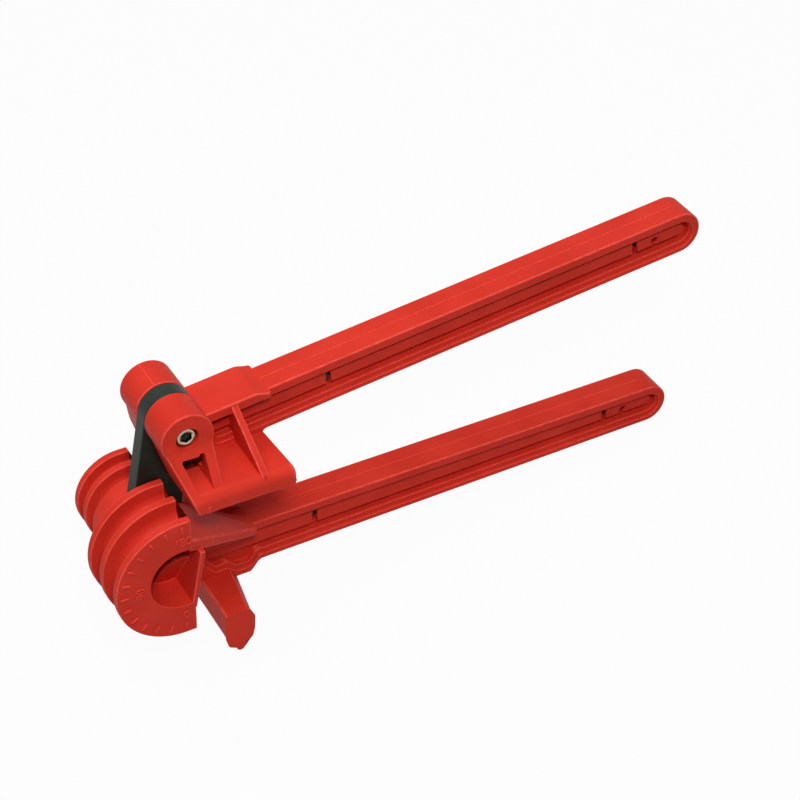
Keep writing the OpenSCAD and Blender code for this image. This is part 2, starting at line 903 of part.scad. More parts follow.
near_former();
far_former();
near_bridge();
far_bridge();
near_hook();
far_hook();
lower_head();
lower_handle();
lower_handle_core();
centre_pivot_bolt();
centre_pivot_nut();
centre_pivot_washer();
link_plate();
lower_link_bush();
upper_link_bush();
near_shoe();
far_shoe();
upper_handle();
upper_handle_core();
upper_pivot_bolt();
upper_pivot_nut();
upper_pivot_washer();
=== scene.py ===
import json
import math

import bmesh
import bpy
import numpy as np
from mathutils import Matrix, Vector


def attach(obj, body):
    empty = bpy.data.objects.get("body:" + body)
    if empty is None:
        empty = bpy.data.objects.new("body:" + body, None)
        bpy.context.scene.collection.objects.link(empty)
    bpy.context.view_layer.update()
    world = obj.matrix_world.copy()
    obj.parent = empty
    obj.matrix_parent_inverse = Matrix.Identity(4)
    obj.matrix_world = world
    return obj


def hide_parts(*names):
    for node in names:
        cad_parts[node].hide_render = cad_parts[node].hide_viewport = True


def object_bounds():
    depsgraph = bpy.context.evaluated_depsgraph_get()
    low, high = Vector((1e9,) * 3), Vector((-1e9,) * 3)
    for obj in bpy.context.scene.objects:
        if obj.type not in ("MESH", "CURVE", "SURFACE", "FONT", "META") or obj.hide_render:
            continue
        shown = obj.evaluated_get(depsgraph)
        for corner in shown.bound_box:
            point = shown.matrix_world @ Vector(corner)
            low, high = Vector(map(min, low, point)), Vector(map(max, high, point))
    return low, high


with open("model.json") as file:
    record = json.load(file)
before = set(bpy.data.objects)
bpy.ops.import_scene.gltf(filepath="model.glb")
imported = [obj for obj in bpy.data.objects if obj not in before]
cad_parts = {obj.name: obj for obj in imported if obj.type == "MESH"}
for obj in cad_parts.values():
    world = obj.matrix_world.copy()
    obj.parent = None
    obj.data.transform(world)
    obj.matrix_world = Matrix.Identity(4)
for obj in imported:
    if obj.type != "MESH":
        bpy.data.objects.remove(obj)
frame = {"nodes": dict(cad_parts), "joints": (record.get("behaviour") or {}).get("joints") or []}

cad_box = [list(corner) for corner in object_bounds()]

# The closed tool stands on the foot of its hook and on the tip of its lower handle. Every piece is drawn
# upright in millimetres, X along the lower handle, Y along the former's axis from its near face and Z up,
# and is then turned and moved onto the two packed pivots.
LINK_LEAN = math.radians(9.9)
SLOT_MID_Y = 32.17
pins = {joint["name"]: 1000 * np.array(joint["pos_m"]) for joint in frame["joints"]}
former_pin, lever_pin = pins["link_swing"], pins["upper_lever_swing"]
handle_lean = math.atan2(lever_pin[0] - former_pin[0], lever_pin[2] - former_pin[2]) - LINK_LEAN


def turned(points):
    """Points or directions turned by the lower handle's lean about the former's axis."""
    x, y, z = np.moveaxis(np.asarray(points, float), -1, 0)
    c, s = math.cos(handle_lean), math.sin(handle_lean)
    return np.stack([c * x + s * z, y, c * z - s * x], -1)


def stand(points):
    """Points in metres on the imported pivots: turned, then moved by the former's pin."""
    return (turned(points) + former_pin - (0, SLOT_MID_Y, 0)) / 1000


# The camera looks down on the near side from the left, with a long lens and a slight roll. Its place
# follows from where the former's axis meets the near face in the picture.
VIEW_TURN, VIEW_RISE, VIEW_ROLL = np.radians([-29.929, 38.113, 1.42])
VIEW_DISTANCE = 860.43
FOCAL_PX, FRAME_PX = 2234.68, 800
AXIS_PX = (184.106, 579.196)
SENSOR_MM = 36
back = np.array([
    math.sin(VIEW_TURN) * math.cos(VIEW_RISE),
    -math.cos(VIEW_TURN) * math.cos(VIEW_RISE),
    math.sin(VIEW_RISE),
])
level = np.array([math.cos(VIEW_TURN), math.sin(VIEW_TURN), 0])
rise = np.cross(back, level)
right = math.cos(VIEW_ROLL) * level + math.sin(VIEW_ROLL) * rise
up = math.cos(VIEW_ROLL) * rise - math.sin(VIEW_ROLL) * level
aside, below = (np.array(AXIS_PX) - FRAME_PX / 2) * VIEW_DISTANCE / FOCAL_PX
eye = stand(back * VIEW_DISTANCE - right * aside + up * below)
lens = bpy.data.cameras.new("camera")
lens.sensor_width = SENSOR_MM
lens.lens = FOCAL_PX / FRAME_PX * SENSOR_MM
camera = bpy.data.objects.new("camera", lens)


def put(obj, axes, place):
    """Links an object into the scene with its three axes and its place."""
    bpy.context.scene.collection.objects.link(obj)
    pose = np.eye(4)
    pose[:3, :3] = np.transpose(axes)
    pose[:3, 3] = place
    obj.matrix_world = Matrix(pose.tolist())


put(camera, turned([right, up, back]), eye)
bpy.context.scene.camera = camera

# The studio: a pale floor under the tool, a broad soft lamp overhead, a smaller soft one above the camera,
# and an even white surround. The camera and mirror-like metal see both floor and surround as white.
FLOOR_HALF_M = 3.0
FLOOR_WHITE = (0.5, 0.5, 0.5, 1)
SURROUND_LEVEL = 0.08
FLOOR_GLOW = 0.96
bpy.context.scene.view_settings.view_transform = "Standard"


def seen_directly(tree):
    """Socket that is 1 for camera, glossy and transmitted rays, and 0 for light that bounces about."""
    path = tree.nodes.new("ShaderNodeLightPath")
    socket = path.outputs["Is Camera Ray"]
    for ray in ("Is Glossy Ray", "Is Transmission Ray"):
        both = tree.nodes.new("ShaderNodeMath")
        both.operation = "MAXIMUM"
        tree.links.new(socket, both.inputs[0])
        tree.links.new(path.outputs[ray], both.inputs[1])
        socket = both.outputs[0]
    return socket


def by_ray(tree, share, bounced, direct, output):
    """Joins two shaders into an output: the second by its share for rays that see it directly."""
    pick = tree.nodes.new("ShaderNodeMixShader")
    for socket, end in zip((share, bounced.outputs[0], direct.outputs[0]), pick.inputs):
        tree.links.new(socket, end)
    tree.links.new(pick.outputs[0], tree.nodes.new(output).inputs[0])


def even_white(tree, strength):
    """White light of one strength from all round."""
    light = tree.nodes.new("ShaderNodeBackground")
    light.inputs["Color"].default_value = (1, 1, 1, 1)
    light.inputs["Strength"].default_value = strength
    return light


surround = bpy.data.worlds.new("white surround")
surround.use_nodes = True
bpy.context.scene.world = surround
tree = surround.node_tree
tree.nodes.clear()
dim, white = even_white(tree, SURROUND_LEVEL), even_white(tree, 1)
by_ray(tree, seen_directly(tree), dim, white, "ShaderNodeOutputWorld")

floor_mesh = bpy.data.meshes.new("floor")
floor_corners = FLOOR_HALF_M * np.array([[-1, -1, 0], [1, -1, 0], [1, 1, 0], [-1, 1, 0]])
floor_corners[:, 2] = cad_box[0][2]
floor_mesh.from_pydata(floor_corners.tolist(), [], [[0, 1, 2, 3]])
floor = bpy.data.objects.new("floor", floor_mesh)
bpy.context.scene.collection.objects.link(floor)
paper = bpy.data.materials.new("white paper")
paper.use_nodes = True
tree = paper.node_tree
tree.nodes.clear()
matt = tree.nodes.new("ShaderNodeBsdfDiffuse")
matt.inputs["Color"].default_value = FLOOR_WHITE
glow = tree.nodes.new("ShaderNodeEmission")
share = tree.nodes.new("ShaderNodeMath")
share.operation = "MULTIPLY"
share.inputs[1].default_value = FLOOR_GLOW
tree.links.new(seen_directly(tree), share.inputs[0])
by_ray(tree, share.outputs[0], matt, glow, "ShaderNodeOutputMaterial")
floor_mesh.materials.append(paper)


def soft_lamp(name, place, aim, size, watts):
    """Square area lamp at a place, its face turned square to the line to its aim."""
    lamp = bpy.data.lights.new(name, "AREA")
    lamp.size = size
    lamp.energy = watts
    away = np.subtract(place, aim)
    away /= np.linalg.norm(away)
    side = np.cross([0, 1, 0], away)
    side /= np.linalg.norm(side)
    put(bpy.data.objects.new(name, lamp), [side, np.cross(away, side), away], place)


OVERHEAD_PLACE, OVERHEAD_AIM = (-0.2, 0.1, 1.3), (0, 0, 0.05)
OVERHEAD_SIZE, OVERHEAD_WATTS = 1.4, 12.5
KEY_WAY, KEY_DISTANCE = (-0.187, -0.586, 0.79), 1.25
KEY_SIZE, KEY_WATTS = 0.25, 8.2
former_place = stand([0, 0, 0])
soft_lamp("overhead lamp", OVERHEAD_PLACE, OVERHEAD_AIM, OVERHEAD_SIZE, OVERHEAD_WATTS)
soft_lamp("key lamp", former_place + KEY_DISTANCE * turned(KEY_WAY), former_place, KEY_SIZE, KEY_WATTS)

# The lower lever is one moulding of red glass-filled plastic: a half-round former with four tube grooves,
# a hook for the tube's end, and a handle of I section. The mould leaves every edge slightly round.
FORMER_W = 62.28
SLOT_Y = (28.37, 35.97)
NEAR_RIM_R, FAR_RIM_R = 28.2, 19.4
NEAR_BEND_R, FAR_BEND_R = 23.8, 15.9
GROOVE_WIDTHS = (9.73, 8.14, 6.55, 4.96)
GROOVE_MIDS = (8.365, 20.8, 47.645, 56.6)
TOP_RUN, BOTTOM_RUN = 4.1, 4.6
RIM_EDGE = 0.5
POCKET_R, POCKET_DEPTH = 13.9, 20.6
POCKET_WEB_Y, POCKET_WEB_LEAN = 16.165, 0.47
ROOF_TOPS, ROOF_ENDS_Y = (18.4, 12.1), (21.5, 42.8)
FAR_CORE_END, FAR_STEP_START = 44.37, 39.0
GRIP_Y = (24.67, 39.67)
GRIP_EDGE = 0.6
GRIP_TOP, HEAD_LOW, HEAD_END = -7.7, -11.6, 41.5
LIP_EDGE, FILLET, NICK = 0.25, 0.1, 0.05
STEP_DEPTH, STEP_RISE = 1.1, 2.3
LEDGE_END, MOAT_DEPTH, MOAT_RISE = 2.7, 4.6, 1.6
PANEL_DEPTH, PANEL_EDGE, PANEL_ROOT = 2.5, 0.2, 0.6
WEB_CUT_Y, WEB_SLOT_HALF = (20, 45), (1.25, 4.3)
HANG_R, HANG_MOUTH_R = 1.5, 2.1
LOWER_SLOT_X, LOWER_HOLE_X, LOWER_CORE_Z = (70.5, 212), 222, -17.25
LOWER_BEDS = ((70.5, -20.2, -14.7), (212, -18.4, -14.7), (222, -20.4, -14.7, 1.6))
LINK_ROOM_X = 11.2
CAP_Y = (22.07, 42.27)
HOOK_LEFT, HOOK_RIGHT, HOOK_TOP, HOOK_EDGE = 17.4, 27.0, -28.57, 0.9
CENTRE_RECESS_R, CENTRE_RECESS_Y = 6.3, 54.58
CORNER_STEPS = 6


def rounded(corners, radii, steps=CORNER_STEPS):
    """Outline whose corners are tangent arcs: an arc's centre lies on its corner's bisector, and its points
    turn evenly from the tangent point on one side to that on the other."""
    p = np.asarray(corners, float)
    r = np.broadcast_to(np.asarray(radii, float), len(p))[:, None]
    before = np.roll(p, 1, 0) - p
    after = np.roll(p, -1, 0) - p
    before /= np.linalg.norm(before, axis=1, keepdims=True)
    after /= np.linalg.norm(after, axis=1, keepdims=True)
    half = np.arccos(np.clip((before * after).sum(1, keepdims=True), -1, 1)) / 2
    bisector = before + after
    bisector /= np.linalg.norm(bisector, axis=1, keepdims=True)
    centre = p + bisector * r / np.sin(half)
    first = p + before * r / np.tan(half) - centre
    last = p + after * r / np.tan(half) - centre
    sweep = (math.pi - 2 * half)[:, None]
    t = np.linspace(0, 1, steps + 1)[None, :, None]
    arc = (first[:, None] * np.sin((1 - t) * sweep) + last[:, None] * np.sin(t * sweep)) / np.sin(sweep)
    return (centre[:, None] + arc).reshape(-1, 2)


def mitres(outline):
    """Step at each point of a counterclockwise outline that moves both its edges in by one."""
    edge = np.roll(outline, -1, 0) - outline
    normal = np.stack([-edge[:, 1], edge[:, 0]], 1) / np.linalg.norm(edge, axis=1, keepdims=True)
    before = np.roll(normal, 1, 0)
    return (before + normal) / (1 + (before * normal).sum(1, keepdims=True))


def plate_rows(start, end, start_edge, end_edge, steps=5):
    """Depths and insets of a plate with rounded edges: a quarter circle out at one end, in at the other."""
    a = np.linspace(0, math.pi / 2, steps + 1)
    head = np.stack([start + start_edge * (1 - np.cos(a)), start_edge * (1 - np.sin(a))], 1)
    tail = np.stack([end - end_edge * (1 - np.cos(a)), end_edge * (1 - np.sin(a))], 1)
    return np.concatenate([head, tail[::-1]])


def straight(start, end):
    """Depths of a plain cut or block, with no inset."""
    return np.array([[start, 0], [end, 0]], float)


def stepped_recess(mouth):
    """Rings of a handle's recess: its lip is rounded over, a ledge runs in, a wall steps up to a second
    ledge, and a narrow moat drops behind that. The step is whole along the bottom, fades out round the end
    and is all but gone along the top, as half of one plus the upward part of the move inwards."""
    a = np.linspace(0, math.pi / 2, 6)
    over, inwards = LIP_EDGE * (1 - np.cos(a)), LIP_EDGE * (np.sin(a) - 1)
    rows = np.concatenate([
        [[-1, -LIP_EDGE, 0]],
        np.stack([over, inwards, 0 * a], 1),
        [[STEP_DEPTH - FILLET, 0, 0], [STEP_DEPTH, 0, FILLET]],
        np.stack([STEP_DEPTH + over, 0 * a, STEP_RISE + inwards], 1),
        [[LEDGE_END - 3 * NICK, 0, STEP_RISE],
         [LEDGE_END - NICK, 0, STEP_RISE - NICK],
         [LEDGE_END, 0, STEP_RISE - 3 * NICK],
         [LEDGE_END + NICK, 0, MOAT_RISE + 2 * NICK],
         [MOAT_DEPTH - 4 * NICK, 0, MOAT_RISE],
         [MOAT_DEPTH, 0, MOAT_RISE + 4 * NICK]],
    ])
    move = mitres(mouth)
    share = np.clip(0.5 + 0.5 * move[:, 1], 0.03, 1)
    inset = rows[:, 1, None] + rows[:, 2, None] * share
    flat = mouth + inset[..., None] * move
    depth = np.broadcast_to(rows[:, :1], inset.shape)
    return np.stack([flat[..., 0], GRIP_Y[0] + depth, flat[..., 1]], -1)


def panel(outline):
    """Rings of the panel that stands in a recess, with rounded edges."""
    back = GRIP_Y[0] + MOAT_DEPTH + PANEL_ROOT
    return prism(outline, plate_rows(GRIP_Y[0] + PANEL_DEPTH, back, PANEL_EDGE, PANEL_EDGE / 2))


def prism(outline, rows):
    """Rings of an outline in X and Z at the rows' depths along Y, each point moved in along its mitre by
    the row's inset."""
    flat = outline + rows[:, 1, None, None] * mitres(outline)
    depth = np.broadcast_to(rows[:, :1], flat.shape[:2])
    return np.stack([flat[..., 0], depth, flat[..., 1]], -1)


def wrapped(rings, ends=True, start=0):
    """Vertices and faces of rings that follow one another, each closed on itself, with flat faces over the
    first and last ring, or joined last to first. The faces count their vertices from a start."""
    k, n = rings.shape[:2]
    row = np.arange(k - 1 if ends else k)[:, None] * n
    here = np.arange(n)
    a, b = row + here, row + (here + 1) % n
    c, d = (b + n) % (k * n), (a + n) % (k * n)
    faces = (start + np.stack([a, b, c, d], -1).reshape(-1, 4)).tolist()
    if ends:
        faces += (start + np.stack([here, here + (k - 1) * n])).tolist()
    return rings.reshape(-1, 3), faces


def closed_piece(name, points, faces):
    """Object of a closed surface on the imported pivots: poles merged, faces turned outwards."""
    mesh = bpy.data.meshes.new(name)
    mesh.from_pydata(stand(points).tolist(), [], faces)
    work = bmesh.new()
    work.from_mesh(mesh)
    bmesh.ops.remove_doubles(work, verts=work.verts, dist=1e-6)
    bmesh.ops.recalc_face_normals(work, faces=work.faces)
    work.to_mesh(mesh)
    work.free()
    obj = bpy.data.objects.new(name, mesh)
    bpy.context.scene.collection.objects.link(obj)
    return obj


def form(rings):
    """A shape to be joined into a moulding or cut from it."""
    return closed_piece("form", *wrapped(rings))


def join(rings):
    """Step that joins a form to a moulding."""
    return "UNION", form(rings)


def cut(rings):
    """Step that cuts a form from a moulding."""
    return "DIFFERENCE", form(rings)


def mould(name, first, steps):
    """One skin from a first form: each step joins another form to it or cuts one from it, in order."""
    for action, other in steps:
        change = first.modifiers.new(action.lower(), "BOOLEAN")
        change.operation = action
        change.solver = "MANIFOLD"
        change.object = other
    graph = bpy.context.evaluated_depsgraph_get()
    mesh = bpy.data.meshes.new_from_object(first.evaluated_get(graph))
    for other in [first] + [other for action, other in steps]:
        old = other.data
        bpy.data.objects.remove(other)
        bpy.data.meshes.remove(old)
    mesh.name = name
    mesh.materials.clear()
    obj = bpy.data.objects.new(name, mesh)
    bpy.context.scene.collection.objects.link(obj)
    return obj


def smoothed(obj, crease=38):
    """Smooth shading up to a crease angle, with large faces kept flat."""
    obj.data.shade_smooth()
    obj.data.set_sharp_from_angle(angle=math.radians(crease))
    even = obj.modifiers.new("even shading", "WEIGHTED_NORMAL")
    even.keep_sharp = True
    return obj


def mark_edges(obj, width=0.4, least_turn=6, share=0.6):
    """Gives each face 1 where it belongs to an outward-rounded edge and 0 elsewhere; the red finish paints
    a highlight on the faces marked 1. Such a face is narrow, and most of its outline turns outwards. Its
    width is twice its area over its outline's length."""
    mesh = obj.data

    def read(items, name, wide, kind):
        """One value or vector of every item as an array."""
        values = np.empty(len(items) * wide, kind)
        items.foreach_get(name, values)
        return values.reshape(-1, wide) if wide > 1 else values

    faces = mesh.polygons
    normal, middle = read(faces, "normal", 3, np.float32), read(faces, "center", 3, np.float32)
    area = read(faces, "area", 1, np.float32)
    owner = np.repeat(np.arange(len(faces)), read(faces, "loop_total", 1, np.int32))
    edge = read(mesh.loops, "edge_index", 1, np.int32)
    order = np.argsort(edge, kind="stable")
    twice = np.bincount(edge)[edge[order]] == 2
    first, second = owner[order][twice].reshape(-1, 2).T
    spot = read(mesh.vertices, "co", 3, np.float32)
    ends = read(mesh.edges, "vertices", 2, np.int32)[edge[order][twice][::2]]
    length = np.linalg.norm(spot[ends[:, 0]] - spot[ends[:, 1]], axis=1)
    bend = np.degrees(np.arccos(np.clip((normal[first] * normal[second]).sum(1), -1, 1)))
    outwards = ((middle[second] - middle[first]) * normal[first]).sum(1) < 0
    turning = length * outwards * (bend > least_turn)
    both = np.concatenate([first, second])
    total = np.bincount(both, np.tile(length, 2), len(faces))
    turned_share = np.bincount(both, np.tile(turning, 2), len(faces)) / np.maximum(total, 1e-9)
    narrow = 2 * area / np.maximum(total, 1e-9) < width / 1000
    pale = mesh.attributes.new("painted_edge_highlight", "FLOAT", "FACE")
    pale.data.foreach_set("value", (narrow & (turned_share > share)).astype(np.float32))
    return obj


def mark_whole(obj, value):
    """Gives every face of a raised mark or seam one value, its share of painted highlight in the red
    finish.
    """
    pale = obj.data.attributes.new("painted_edge_highlight", "FLOAT", "FACE")
    pale.data.foreach_set("value", np.full(len(obj.data.polygons), value, np.float32))
    return obj


def grooved_section(y0, y1, inner_r, rim_r, bend_r, grooves):
    """Section of a cheek in Y and radius: a block whose rim has U-shaped grooves, round at the bottom."""
    corners, radii = [(y0, inner_r), (y1, inner_r), (y1, rim_r)], [0.2, 0.2, RIM_EDGE]
    for width, mid in grooves:
        y_low, y_high, low = mid - width / 2, mid + width / 2, bend_r - width / 2
        corners += [(y_high, rim_r), (y_high, low), (y_low, low), (y_low, rim_r)]
        radii += [RIM_EDGE, width / 2.02, width / 2.02, RIM_EDGE]
    return rounded(corners + [(y0, rim_r)], radii + [RIM_EDGE], 8)


def cheek(section, end_edge=0.6):
    """A section carried round half a turn about the axis, with a straight run at each end whose last edge
    is rounded by an inset: x is the run less radius times sine, z is radius times cosine."""
    a = np.linspace(0, math.pi / 2, 5)
    back, inset = end_edge * (1 - np.cos(a)), end_edge * (1 - np.sin(a))
    turn = np.linspace(0, math.pi, 61)
    path = np.concatenate([
        np.stack([TOP_RUN - back, 0 * a, inset], 1),
        np.stack([0 * turn, turn, 0 * turn], 1),
        np.stack([BOTTOM_RUN - back, 0 * a + math.pi, inset], 1)[::-1],
    ])
    flat = section + path[:, 2, None, None] * mitres(section)
    run, angle = path[:, 0, None], path[:, 1, None]
    y, r = flat[..., 0], flat[..., 1]
    return np.stack([run - r * np.sin(angle), y, r * np.cos(angle)], -1)


def leaned(corners):
    """Corners turned by the closed link's lean."""
    x, z = np.asarray(corners, float).T
    c, s = math.cos(LINK_LEAN), math.sin(LINK_LEAN)
    return np.stack([x * c + z * s, z * c - x * s], 1)


def box(x0, x1, z0, z1):
    """Corners of an upright rectangle in X and Z."""
    return [(x0, z0), (x1, z0), (x1, z1), (x0, z1)]


def roof(wall_y, outer_y, cap_y, top_z, root_t=5.9, x0=3.1, edge=0.9):
    """Slope from a cheek's groove ends to the head: a four-sided section, rounded on its outer edges, drawn
    straight from its size at one end to its size at the other."""
    ends = []
    for x, outer, z_low, z_top in (
        (x0, outer_y, top_z - root_t, top_z),
        (HEAD_END, cap_y, HEAD_LOW, GRIP_TOP),
    ):
        low, high = min(wall_y, outer), max(wall_y, outer)
        r = np.where(np.isclose([low, high, high, low], outer), edge, 0.2)
        flat = rounded(box(low, high, z_low, z_top), r)
        ends.append(np.insert(flat, 0, x, axis=1))
    return np.stack(ends)


def loop(at, half_w, half_h, n=28):
    """Ellipse round a place."""
    a = np.linspace(0, 2 * math.pi, n, endpoint=False)
    return np.stack([at[0] + half_w * np.cos(a), at[1] + half_h * np.sin(a)], 1)


def rod(r, y0, y1, at=(0, 0), edge=0.0, around=64):
    """Rings of a rod along Y, with rounded or sharp ends."""
    return prism(loop(at, r, r, around), plate_rows(y0, y1, edge, edge) if edge else straight(y0, y1))


def sunk_mouth(at, deep=0.9):
    """Rings of the cone that widens a hanging hole at the panel's face."""
    face = GRIP_Y[0] + PANEL_DEPTH
    rows = np.array([[face - 0.2, 0], [face, 0], [face + deep, HANG_MOUTH_R - HANG_R]])
    return prism(loop(at, HANG_MOUTH_R, HANG_MOUTH_R, 24), rows)


def bar_bed(x, z0, z1, half=3.4, skin=1.0):
    """Rings of the hollow round the steel bar behind a slot or hole, between the two panels' skins."""
    start = GRIP_Y[0] + PANEL_DEPTH + skin
    return prism(rounded(box(x - half, x + half, z0, z1), 0.6), straight(start, 2 * SLOT_MID_Y - start))


def web_openings(slots, hole, core_z, beds, move=np.asarray):
    """Cuts that bare the steel bar in a handle's web: two slots, a hollow behind each slot and the hanging
    hole, and the hole itself with its two mouths; move brings each one onto its lever."""
    half_w, half_h = WEB_SLOT_HALF
    slot_outline = rounded(box(-half_w, half_w, -half_h, half_h), 0.4)
    mouth = sunk_mouth((hole, core_z))
    shapes = [prism(slot_outline + (x, core_z), straight(*WEB_CUT_Y)) for x in slots]
    shapes += [bar_bed(*bed) for bed in beds]
    shapes += [rod(HANG_R, *WEB_CUT_Y, (hole, core_z), around=24), mouth, mirrored(mouth)]
    return [cut(move(rings)) for rings in shapes]


def web_front(z):
    """Depth of the front of the pocket's web: it comes nearer as it rises, in proportion to the height over
    the pocket's lowest point."""
    return POCKET_WEB_Y - POCKET_WEB_LEAN * (z + POCKET_R)


def leaning_web(outline, thick=1.8, edge=0.25):
    """Rings of the web in the pocket: a plate with rounded edges, each point moved to the web's front."""
    rings = prism(outline, plate_rows(0, thick, edge, edge))
    rings[..., 1] += web_front(rings[..., 2])
    return rings


def flared(rings, most=0.4):
    """The hook's rings drawn wider to the right from each end to the handle, by their share of the way."""
    way = np.minimum(rings[..., 1], FORMER_W - rings[..., 1]) / GRIP_Y[0]
    wide = rings.copy()
    wide[..., 0] += (rings[..., 0] - HOOK_LEFT) * most * np.clip(way, 0, 1)
    return wide


def mirrored(rings):
    """The same rings on the other side of the handles' middle."""
    return rings * (1, -1, 1) + (0, 2 * SLOT_MID_Y, 0)


def new_finish(name):
    """A material with its node tree, its shader and the place of each point on the piece."""
    made = bpy.data.materials.new(name)
    made.use_nodes = True
    tree = made.node_tree
    place = tree.nodes.new("ShaderNodeTexCoord").outputs["Object"]
    return made, tree, tree.nodes["Principled BSDF"], place


def clouds(tree, place, size_mm, detail):
    """Noise whose clouds are about so many millimetres across."""
    noise = tree.nodes.new("ShaderNodeTexNoise")
    noise.inputs["Scale"].default_value = 1000 / size_mm
    noise.inputs["Detail"].default_value = detail
    tree.links.new(place, noise.inputs["Vector"])
    return noise.outputs["Fac"]


def two_tone(tree, noise, places, shades):
    """Colour that runs from one shade to another between two places of a noise."""
    ramp = tree.nodes.new("ShaderNodeValToRGB")
    for stop, place, shade in zip(ramp.color_ramp.elements, places, shades):
        stop.position = place
        stop.color = (*shade, 1)
    tree.links.new(noise, ramp.inputs["Fac"])
    return ramp.outputs["Color"]


def spread(tree, noise, low, high, start=0, end=1):
    """A noise stretched from start and end to a low and a high value."""
    span = tree.nodes.new("ShaderNodeMapRange")
    for name, value in (("From Min", start), ("From Max", end), ("To Min", low), ("To Max", high)):
        span.inputs[name].default_value = value
    tree.links.new(noise, span.inputs["Value"])
    return span.outputs["Result"]


def relief(tree, shader, noise, strength, depth_m):
    """Fine grain in a shader's surface."""
    bump = tree.nodes.new("ShaderNodeBump")
    bump.inputs["Strength"].default_value = strength
    bump.inputs["Distance"].default_value = depth_m
    tree.links.new(noise, bump.inputs["Height"])
    tree.links.new(bump.outputs["Normal"], shader.inputs["Normal"])


RED_SHADES = ((0.61, 0.03, 0.016), (0.72, 0.042, 0.024))
# Colour of the painted highlight on rounded edges, marks and seams.
PAINTED_HIGHLIGHT_RED = (0.92, 0.1, 0.07, 1)
RED_GLOSS, RED_ROUGH = 0.1, (0.44, 0.6)


def red_plastic():
    """Satin moulded red: pigment clouds sway the colour, a painted highlight makes marked edges, marks and
    seams paler in patches, a mould's fine grain stands as relief, and its polish varies from place to
    place."""
    made, tree, shader, place = new_finish("moulded red")
    # Painted highlight: faces marked by the attribute are mixed towards a paler red, in noise patches.
    edge = tree.nodes.new("ShaderNodeAttribute")
    edge.attribute_name = "painted_edge_highlight"
    highlight_amount = tree.nodes.new("ShaderNodeMath")
    highlight_amount.operation = "MULTIPLY"
    tree.links.new(edge.outputs["Fac"], highlight_amount.inputs[0])
    tree.links.new(spread(tree, clouds(tree, place, 3, 3), 0.3, 0.9, 0.3, 0.7), highlight_amount.inputs[1])
    highlighted = tree.nodes.new("ShaderNodeMix")
    highlighted.data_type = "RGBA"
    highlighted.inputs["B"].default_value = PAINTED_HIGHLIGHT_RED
    tree.links.new(highlight_amount.outputs[0], highlighted.inputs["Factor"])
    tree.links.new(two_tone(tree, clouds(tree, place, 22, 5), (0.3, 0.72), RED_SHADES), highlighted.inputs["A"])
    tree.links.new(highlighted.outputs["Result"], shader.inputs["Base Color"])
    tree.links.new(spread(tree, clouds(tree, place, 6, 4), *RED_ROUGH), shader.inputs["Roughness"])
    shader.inputs["Specular IOR Level"].default_value = RED_GLOSS
    relief(tree, shader, clouds(tree, place, 0.7, 3), 0.35, 0.0002)
    return made


moulded_red = red_plastic()


def in_red(obj, body):
    """A piece of the red moulding, riding with its body."""
    obj.data.materials.append(moulded_red)
    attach(obj, body)


grip_outline = rounded(
    [(0, -28.5), (17.8, -28.3), (18.8, -33.2), (40.2, -33.2), (44.2, -28.1), (242.5, -25.8),
     (242.5, GRIP_TOP), (0, GRIP_TOP)],
    [0.5, 0.5, 1, 2.6, 3, 9, 9, 0.5], 10,
)
grip = form(prism(grip_outline, plate_rows(*GRIP_Y, GRIP_EDGE, GRIP_EDGE)))

mouth = rounded(
    [(19.4, HEAD_LOW), (19.4, -21), (24.6, -27.4), (29.6, -26.7), (34.0, -30.0), (40.4, -30.3),
     (44.3, -25.6), (239.2, -23.4), (239.2, HEAD_LOW)],
    [2.6, 3.4, 2.6, 2, 3, 3, 2.4, 5.8, 5.8], 8,
)
recess = stepped_recess(mouth)
web_panel = panel(rounded([(21, -14.3), (21, -21.2), (236, -18.5), (236, -14.3)], [0.6, 0.6, 2, 2], 8))

grooves = list(zip(GROOVE_WIDTHS, GROOVE_MIDS))
near_section = grooved_section(0, SLOT_Y[0], POCKET_R, NEAR_RIM_R, NEAR_BEND_R, grooves[1::-1])
far_section = grooved_section(SLOT_Y[1], FORMER_W, 2, FAR_RIM_R, FAR_BEND_R, grooves[:1:-1])
hub = rounded(box(-14.6, TOP_RUN, -14.6, 14.6), [14.5, 0.3, 0.3, 14.5], 16)
near_core = rounded(leaned(box(-6.95, 7.8, -14.4, 13.9)), 0.4)
rib = rounded(leaned(box(5.6, 7.8, -15.9, 11.6)), 0.4)
behind_pocket = straight(POCKET_DEPTH, SLOT_Y[0])
web_outline = rounded(
    [(-6.5, -14.6), (4.2, -14.6), (7.0, 2.6), (0.6, 2.6), (-3.6, -1.0), (-5.4, -6.0)],
    [0.3, 0.3, 0.3, 2, 4, 4],
)
far_core = rounded(box(0, 13.2, -12.125, 12.125), 0.6)
far_hub = rounded(box(-2.6, TOP_RUN, -2.6, 2.6), 0.3)
hook = rounded(
    [(HOOK_LEFT, HOOK_TOP), (HOOK_RIGHT, HOOK_TOP), (28.9, -32.5), (28.7, -38.5), (27.8, -42.4),
     (24.6, -45.1), (23.7, -47.4), (22.6, -47.4), (21.7, -45.8), (18.7, -44.3), (HOOK_LEFT, -39.7)],
    [0.9, 1.0, 2.0, 4.0, 2.2, 0.6, 0.4, 0.4, 0.6, 1.6, 3.0],
)
hook_rows = plate_rows(0, FORMER_W, HOOK_EDGE, HOOK_EDGE)
hook_rows = np.insert(hook_rows, len(hook_rows) // 2, straight(*GRIP_Y), axis=0)
far_step = rounded(box(HOOK_LEFT, HOOK_RIGHT, -31.0, -19.1), [0.3, 0.3, HOOK_EDGE, HOOK_EDGE])
cap_outline = rounded(box(19.2, HEAD_END, *CAP_Y), [0.5, 1.2, 1.2, 0.5])
cap = prism(cap_outline, plate_rows(HEAD_LOW, GRIP_TOP, 0.4, 0.6))[..., [0, 2, 1]]
slot = np.array(box(-60, LINK_ROOM_X, -60, 0.5), float)

